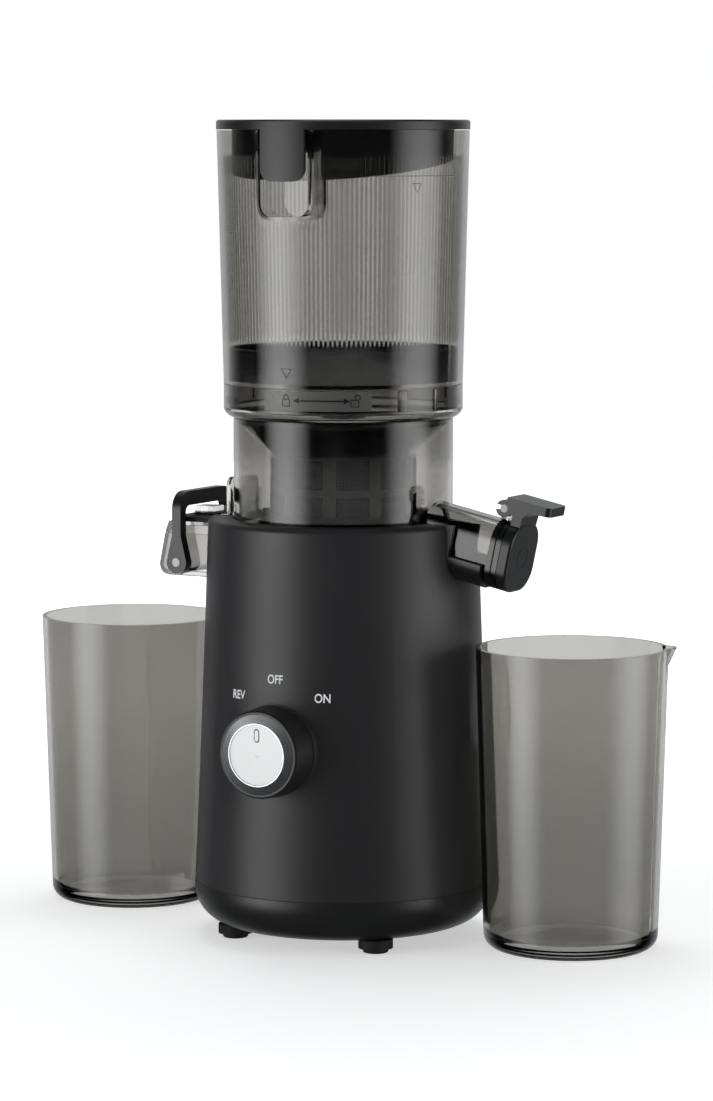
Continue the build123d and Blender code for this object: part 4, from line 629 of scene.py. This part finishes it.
# screen print: thick opaque white ink with a slightly open, matt surface
ink = mouldedPlastic("white screen print ink", "#eef0f0", "#dfe2e2", 0.55, 0.7, 0.01, swirl=4,
                     ior=1.5)


def printLabel(word, right, up):
    curve = bpy.data.curves.new("label_" + word, "FONT")
    curve.body = word
    curve.align_x = "CENTER"
    curve.align_y = "CENTER"
    curve.size = label["capHeight"] * mm / label["capShare"]
    curve.extrude = label["ink"] * mm
    curve.offset = label["bold"] * curve.size
    flat = bpy.data.objects.new("label_" + word, curve)
    scene.collection.objects.link(flat)
    bpy.context.view_layer.update()
    mesh = bpy.data.meshes.new_from_object(flat)
    bpy.data.objects.remove(flat)
    bm = bmesh.new()
    bm.from_mesh(mesh)
    bpy.data.meshes.remove(mesh)
    for v in bm.verts:
        x = v.co.x * label["narrow"] + right * mm
        z = v.co.y + knobCentre[2] + up * mm
        front = -math.sqrt(housingRadius(z) ** 2 - x * x) - label["stand"] * mm
        v.co = Vector((x, front - v.co.z, z))
    finishPiece("label_" + word, bm, "base", ink, smooth=False)


for word, (right, up) in label["places"].items():
    printLabel(word, right, up)
print("labels printed")

hopperWall = {"low": (65.8, 306.3), "high": (69.3, 444.4), "thick": 2.8}    # radius, height
flutes = {
    "count": 160, "half": 0.62, "depth": 0.3, "sides": 12,      # half a width, half a thickness
    "clear": 0.03,              # left free to the wall, so that the two skins don't cross
    "low": 331.0, "high": 429.5, "point": 2.2,
    "niche": -90.0, "nicheHalf": 16.0, "highUnderNiche": 393.5,     # degrees round, half its width
}
# one moulding with the wall behind them: they hardly add tint and bend light only a little
fluteClear = clearPlastic("fluted copolyester", "#dededc", "#dbdbd9", 0.02, 1.15, 12, 0.002,
                          "#f4f4f4")


def hopperRadius(z):
    (r0, z0), (r1, z1) = hopperWall["low"], hopperWall["high"]
    return mm * (r0 + (z / mm - z0) * (r1 - r0) / (z1 - z0))


def fluteHopper():
    # fine upright flutes inside the hopper's wall, each with a pointed foot
    (r0, z0), (r1, z1) = hopperWall["low"], hopperWall["high"]
    lean = math.atan((r1 - r0) / (z1 - z0))
    low = flutes["low"] * mm
    inward = hopperWall["thick"] + flutes["clear"] + flutes["depth"]
    middle = hopperRadius(low) - inward * mm
    bm = bmesh.new()
    for i in range(flutes["count"]):
        angle = (i + 0.5) * 360 / flutes["count"]
        fromNiche = abs((angle - flutes["niche"] + 180) % 360 - 180)
        top = flutes["highUnderNiche"] if fromNiche < flutes["nicheHalf"] else flutes["high"]
        long = (top - flutes["low"]) * mm
        made = bmesh.ops.create_cone(bm, cap_ends=True, segments=flutes["sides"],
                                     radius1=mm, radius2=mm, depth=long)["verts"]
        caps = [f for f in facesOf(made) if len(f.verts) == flutes["sides"]]
        tips = bmesh.ops.poke(bm, faces=caps)["verts"]
        for tip in tips:
            tip.co.z += math.copysign(flutes["point"] * mm, tip.co.z)
        made += tips
        bmesh.ops.scale(bm, verts=made, vec=(flutes["depth"], flutes["half"], 1.0))
        moveAll(bm, made, 0, long / 2)
        turnAll(bm, made, lean, "Y")
        moveAll(bm, made, middle, low)
        turnAll(bm, made, math.radians(angle), "Z")
    finishPiece("hopper_flutes", bm, "hopper", fluteClear)


fluteHopper()
print("hopper fluted")

# marks moulded or etched into the clear parts show as darker lines
etched = mouldedPlastic("etched line in copolyester", "#4a4b4b", "#555656", 0.60, 0.7,
                        0.01, swirl=4)
# the deep marks' finish also gives the painted shade in the groove round the knob's pointer
deepMarkAndGrooveShade = mouldedPlastic("deep etched line and painted groove shade", "#0c0d0d", "#151616", 0.50, 0.7,
                            0.01, swirl=4)
marks = {
    # degrees round the axis, heights and sizes in mm
    "fillLine": {"from": -48.8, "to": -1.2, "level": 420.0, "line": 0.35, "cuts": 48},
    "fillArrow": {"turn": -26.0, "level": 413.6, "wide": 6.2, "tall": 5.2, "line": 0.5},
    "matchArrow": {"turn": -88.9, "level": 314.5, "wide": 6.6, "tall": 5.4, "line": 0.6},
    "twist": {"from": -83.8, "to": -59.6, "level": 300.2, "line": 0.8, "head": 3.4, "cuts": 24},
    "thick": 0.06, "above": 0.01,       # how far a mark stands out, and its gap to the wall
    "plateRadius": 66.32,               # of the lock plate's face
}


def stripe(bm, wide, tall, cuts):
    # a flat strip in XZ, cut across so that it can bend
    made = bmesh.ops.create_grid(bm, x_segments=cuts, y_segments=1, size=0.5)["verts"]
    bmesh.ops.scale(bm, verts=made, vec=(wide, tall, 1.0))
    turnAll(bm, made, math.pi / 2, "X")
    return made


def outlineArrow(bm, wide, tall, line):
    # a triangle that points down, as a rim
    verts = flatDisc(bm, wide, tall, 3)
    turnAll(bm, verts, math.pi, "Y")
    hollowOut(bm, verts, line)


def hopperFace(z):
    return hopperRadius(z) + marks["above"] * mm


def plateFace(z):
    return marks["plateRadius"] * mm


def setMark(name, bm, body, material, radiusAt, turn, level):
    # a flat drawing becomes a thin raised mark on its wall
    pushOut(bm, marks["thick"] * mm)
    wrapRound(bm, radiusAt, math.radians(turn), level * mm)
    finishPiece(name, bm, body, material, smooth=False)


def printHopperMarks():
    spec = marks["fillLine"]
    bm = bmesh.new()
    wide = hopperRadius(spec["level"] * mm) * math.radians(spec["to"] - spec["from"])
    stripe(bm, wide, spec["line"] * mm, spec["cuts"])
    setMark("fill_line", bm, "hopper", etched, hopperFace,
            (spec["from"] + spec["to"]) / 2, spec["level"])
    for name, depth, spec in (("fill_arrow", etched, marks["fillArrow"]),
                              ("match_arrow", deepMarkAndGrooveShade, marks["matchArrow"])):
        bm = bmesh.new()
        outlineArrow(bm, spec["wide"] * mm, spec["tall"] * mm, spec["line"] * mm)
        setMark(name, bm, "hopper", depth, hopperFace, spec["turn"], spec["level"])


padlock = {
    "closedTurn": -88.9, "openTurn": -56.0, "level": 299.0,
    "wide": 4.6, "tall": 4.0, "line": 0.6,
    "shackle": 3.2, "sides": 20, "leg": 0.9,        # the hoop, and its straight legs
    "rise": 2.2, "openAside": 1.6,
}


def drawPadlock(bm, opened):
    # a box with a hoop over it, all as lines
    line = padlock["line"] * mm
    across = padlock["shackle"] * mm
    hollowOut(bm, stripe(bm, padlock["wide"] * mm, padlock["tall"] * mm, 1), line)
    hollowOut(bm, flatDisc(bm, across, across, padlock["sides"]), line)

    # the hoop's lower half goes; the box's corners lie outside its round
    near = joined * mm
    hoop = [v for v in bm.verts if math.hypot(v.co.x, v.co.z) < across / 2 + near]
    arch = [v for v in hoop if v.co.z > -near]
    bmesh.ops.delete(bm, geom=[v for v in hoop if v not in arch], context="VERTS")
    feet = [e for e in bm.edges if e.is_boundary
            and all(v in arch and abs(v.co.z) < near for v in e.verts)]
    legs = newVerts(bmesh.ops.extrude_edge_only(bm, edges=feet))
    moveAll(bm, legs, 0, -padlock["leg"] * mm)
    aside = padlock["openAside"] if opened else 0.0
    moveAll(bm, arch + legs, aside * mm, (padlock["tall"] + padlock["rise"]) / 2 * mm)


def printLockMarks():
    for name, turn, opened in (("mark_locked", padlock["closedTurn"], False),
                               ("mark_unlocked", padlock["openTurn"], True)):
        bm = bmesh.new()
        drawPadlock(bm, opened)
        setMark(name, bm, "bowl", deepMarkAndGrooveShade, plateFace, turn, padlock["level"])
    spec = marks["twist"]
    bm = bmesh.new()
    wide = plateFace(0) * math.radians(spec["to"] - spec["from"])
    stripe(bm, wide, spec["line"] * mm, spec["cuts"])
    for side in (-1, 1):
        tip = flatDisc(bm, spec["head"] * mm, spec["head"] * mm, 3)
        turnAll(bm, tip, side * math.pi / 2, "Y")
        moveAll(bm, tip, side * wide / 2, 0.0)
    setMark("mark_twist", bm, "bowl", deepMarkAndGrooveShade, plateFace,
            (spec["from"] + spec["to"]) / 2, spec["level"])


printHopperMarks()
printLockMarks()
print("marks on the hopper and collar")

ribs = {
    "turns": (-32.4, -12.5), "wide": (5.6, 2.6),        # one by one: degrees round, mm
    "low": 293.9, "high": 305.4,
    "foot": 65.82, "out": 0.8,              # radius of the back, how far it stands out
    "corner": 0.35, "cornerSteps": 3,
}


def collarRibs():
    # upright grips on the bowl's collar
    bm = bmesh.new()
    for turn, wide in zip(ribs["turns"], ribs["wide"]):
        made = bmesh.ops.create_cube(bm, size=1.0)["verts"]
        tall = ribs["high"] - ribs["low"]
        bmesh.ops.scale(bm, verts=made, vec=(ribs["out"] * mm, wide * mm, tall * mm))
        front = list({e for v in made for e in v.link_edges if max(v.co.x for v in e.verts) > 0})
        rounded = bmesh.ops.bevel(bm, geom=front, offset=ribs["corner"] * mm, affect="EDGES",
                                  segments=ribs["cornerSteps"], profile=0.5, material=-1)["verts"]
        made = list(set(rounded + [v for v in made if v.is_valid]))
        moveAll(bm, made, (ribs["foot"] + ribs["out"] / 2) * mm, (ribs["low"] + tall / 2) * mm)
        turnAll(bm, made, math.radians(turn), "Z")
    finishPiece("collar_ribs", bm, "bowl", finishes["smoky_clear"])


collarRibs()

pointer = {
    "up": 10.5, "wide": 3.8, "tall": 7.6, "rim": 0.8, "sides": 40,
    "floor": 95.8, "shadow": 96.35, "top": 96.85,       # how far forward each layer's face stands
}


def pill(bm, wide, tall, y):
    # a slot shape in XZ: a round whose halves are pulled apart
    made = flatDisc(bm, wide * mm, wide * mm, pointer["sides"])
    upper = [v for v in made if v.co.z > 0]
    lower = [v for v in made if v.co.z <= 0]
    moveAll(bm, upper, 0.0, (tall - wide) / 2 * mm)
    moveAll(bm, lower, 0.0, -(tall - wide) / 2 * mm)
    bmesh.ops.translate(bm, verts=made, vec=(0.0, -y * mm, 0.0))


def knobPointer():
    # a pale insert in a groove; the dark layer behind it is painted shade, standing for the shade
    # in the gap round the insert
    for name, shrink, back, front, slotName, finish in (
            ("pointer_groove_shade", 0.0, "floor", "shadow", "black_plastic", deepMarkAndGrooveShade),
            ("pointer_insert", 2 * pointer["rim"], "shadow", "top", "pearl_plastic",
             finishes["pearl_plastic"])):
        bm = bmesh.new()
        pill(bm, pointer["wide"] - shrink, pointer["tall"] - shrink, pointer[back])
        pushOut(bm, (pointer[front] - pointer[back]) * mm)
        moveAll(bm, bm.verts[:], 0.0, knobCentre[2] + pointer["up"] * mm)
        finishPiece(name, bm, "knob", finish)


knobPointer()

capRing = {
    "x": 110.2, "z": 214.6, "tilt": 12.0,
    "across": 12.0, "line": 0.45, "sides": 64,
    "gate": 1.3, "gateSides": 24, "stand": 0.12,
}


def capEmblem():
    # a plain moulded ring with a small gate mark in its middle, on the cap's face
    bm = bmesh.new()
    rim = flatDisc(bm, capRing["across"] * mm, capRing["across"] * mm, capRing["sides"])
    hollowOut(bm, rim, capRing["line"] * mm)
    flatDisc(bm, capRing["gate"] * mm, capRing["gate"] * mm, capRing["gateSides"])
    pushOut(bm, capRing["stand"] * mm)
    # -Y turns to the cap's outward normal
    turnAll(bm, bm.verts[:], math.pi / 2, "Z")
    turnAll(bm, bm.verts[:], math.radians(capRing["tilt"]), "Y")
    moveAll(bm, bm.verts[:], capRing["x"] * mm, capRing["z"] * mm)
    finishPiece("cap_ring", bm, "juice_cap", finishes["gloss_black"])


capEmblem()

seam = {"z": 31.0, "radius": 82.54, "tall": 0.4, "thick": 0.06, "steps": 192}


def paintSeamShade():
    # painted shade: a thin dark ring in the joint between the housing and the tray, standing for
    # the shade in the gap
    bm = bmesh.new()
    bmesh.ops.create_circle(bm, cap_ends=False, radius=seam["radius"] * mm,
                            segments=seam["steps"])
    upper = newVerts(bmesh.ops.extrude_edge_only(bm, edges=bm.edges[:]))
    moveAll(bm, upper, 0.0, seam["tall"] * mm)
    bmesh.ops.recalc_face_normals(bm, faces=bm.faces)
    bmesh.ops.solidify(bm, geom=bm.faces[:], thickness=-seam["thick"] * mm)
    moveAll(bm, bm.verts[:], 0.0, (seam["z"] - seam["tall"] / 2) * mm)
    # the rubber finish here is painted shade, not a gasket
    finishPiece("seam_painted_shade", bm, "base", finishes["black_rubber"])


paintSeamShade()
print("knob pointer, collar ribs, cap ring and seam made")
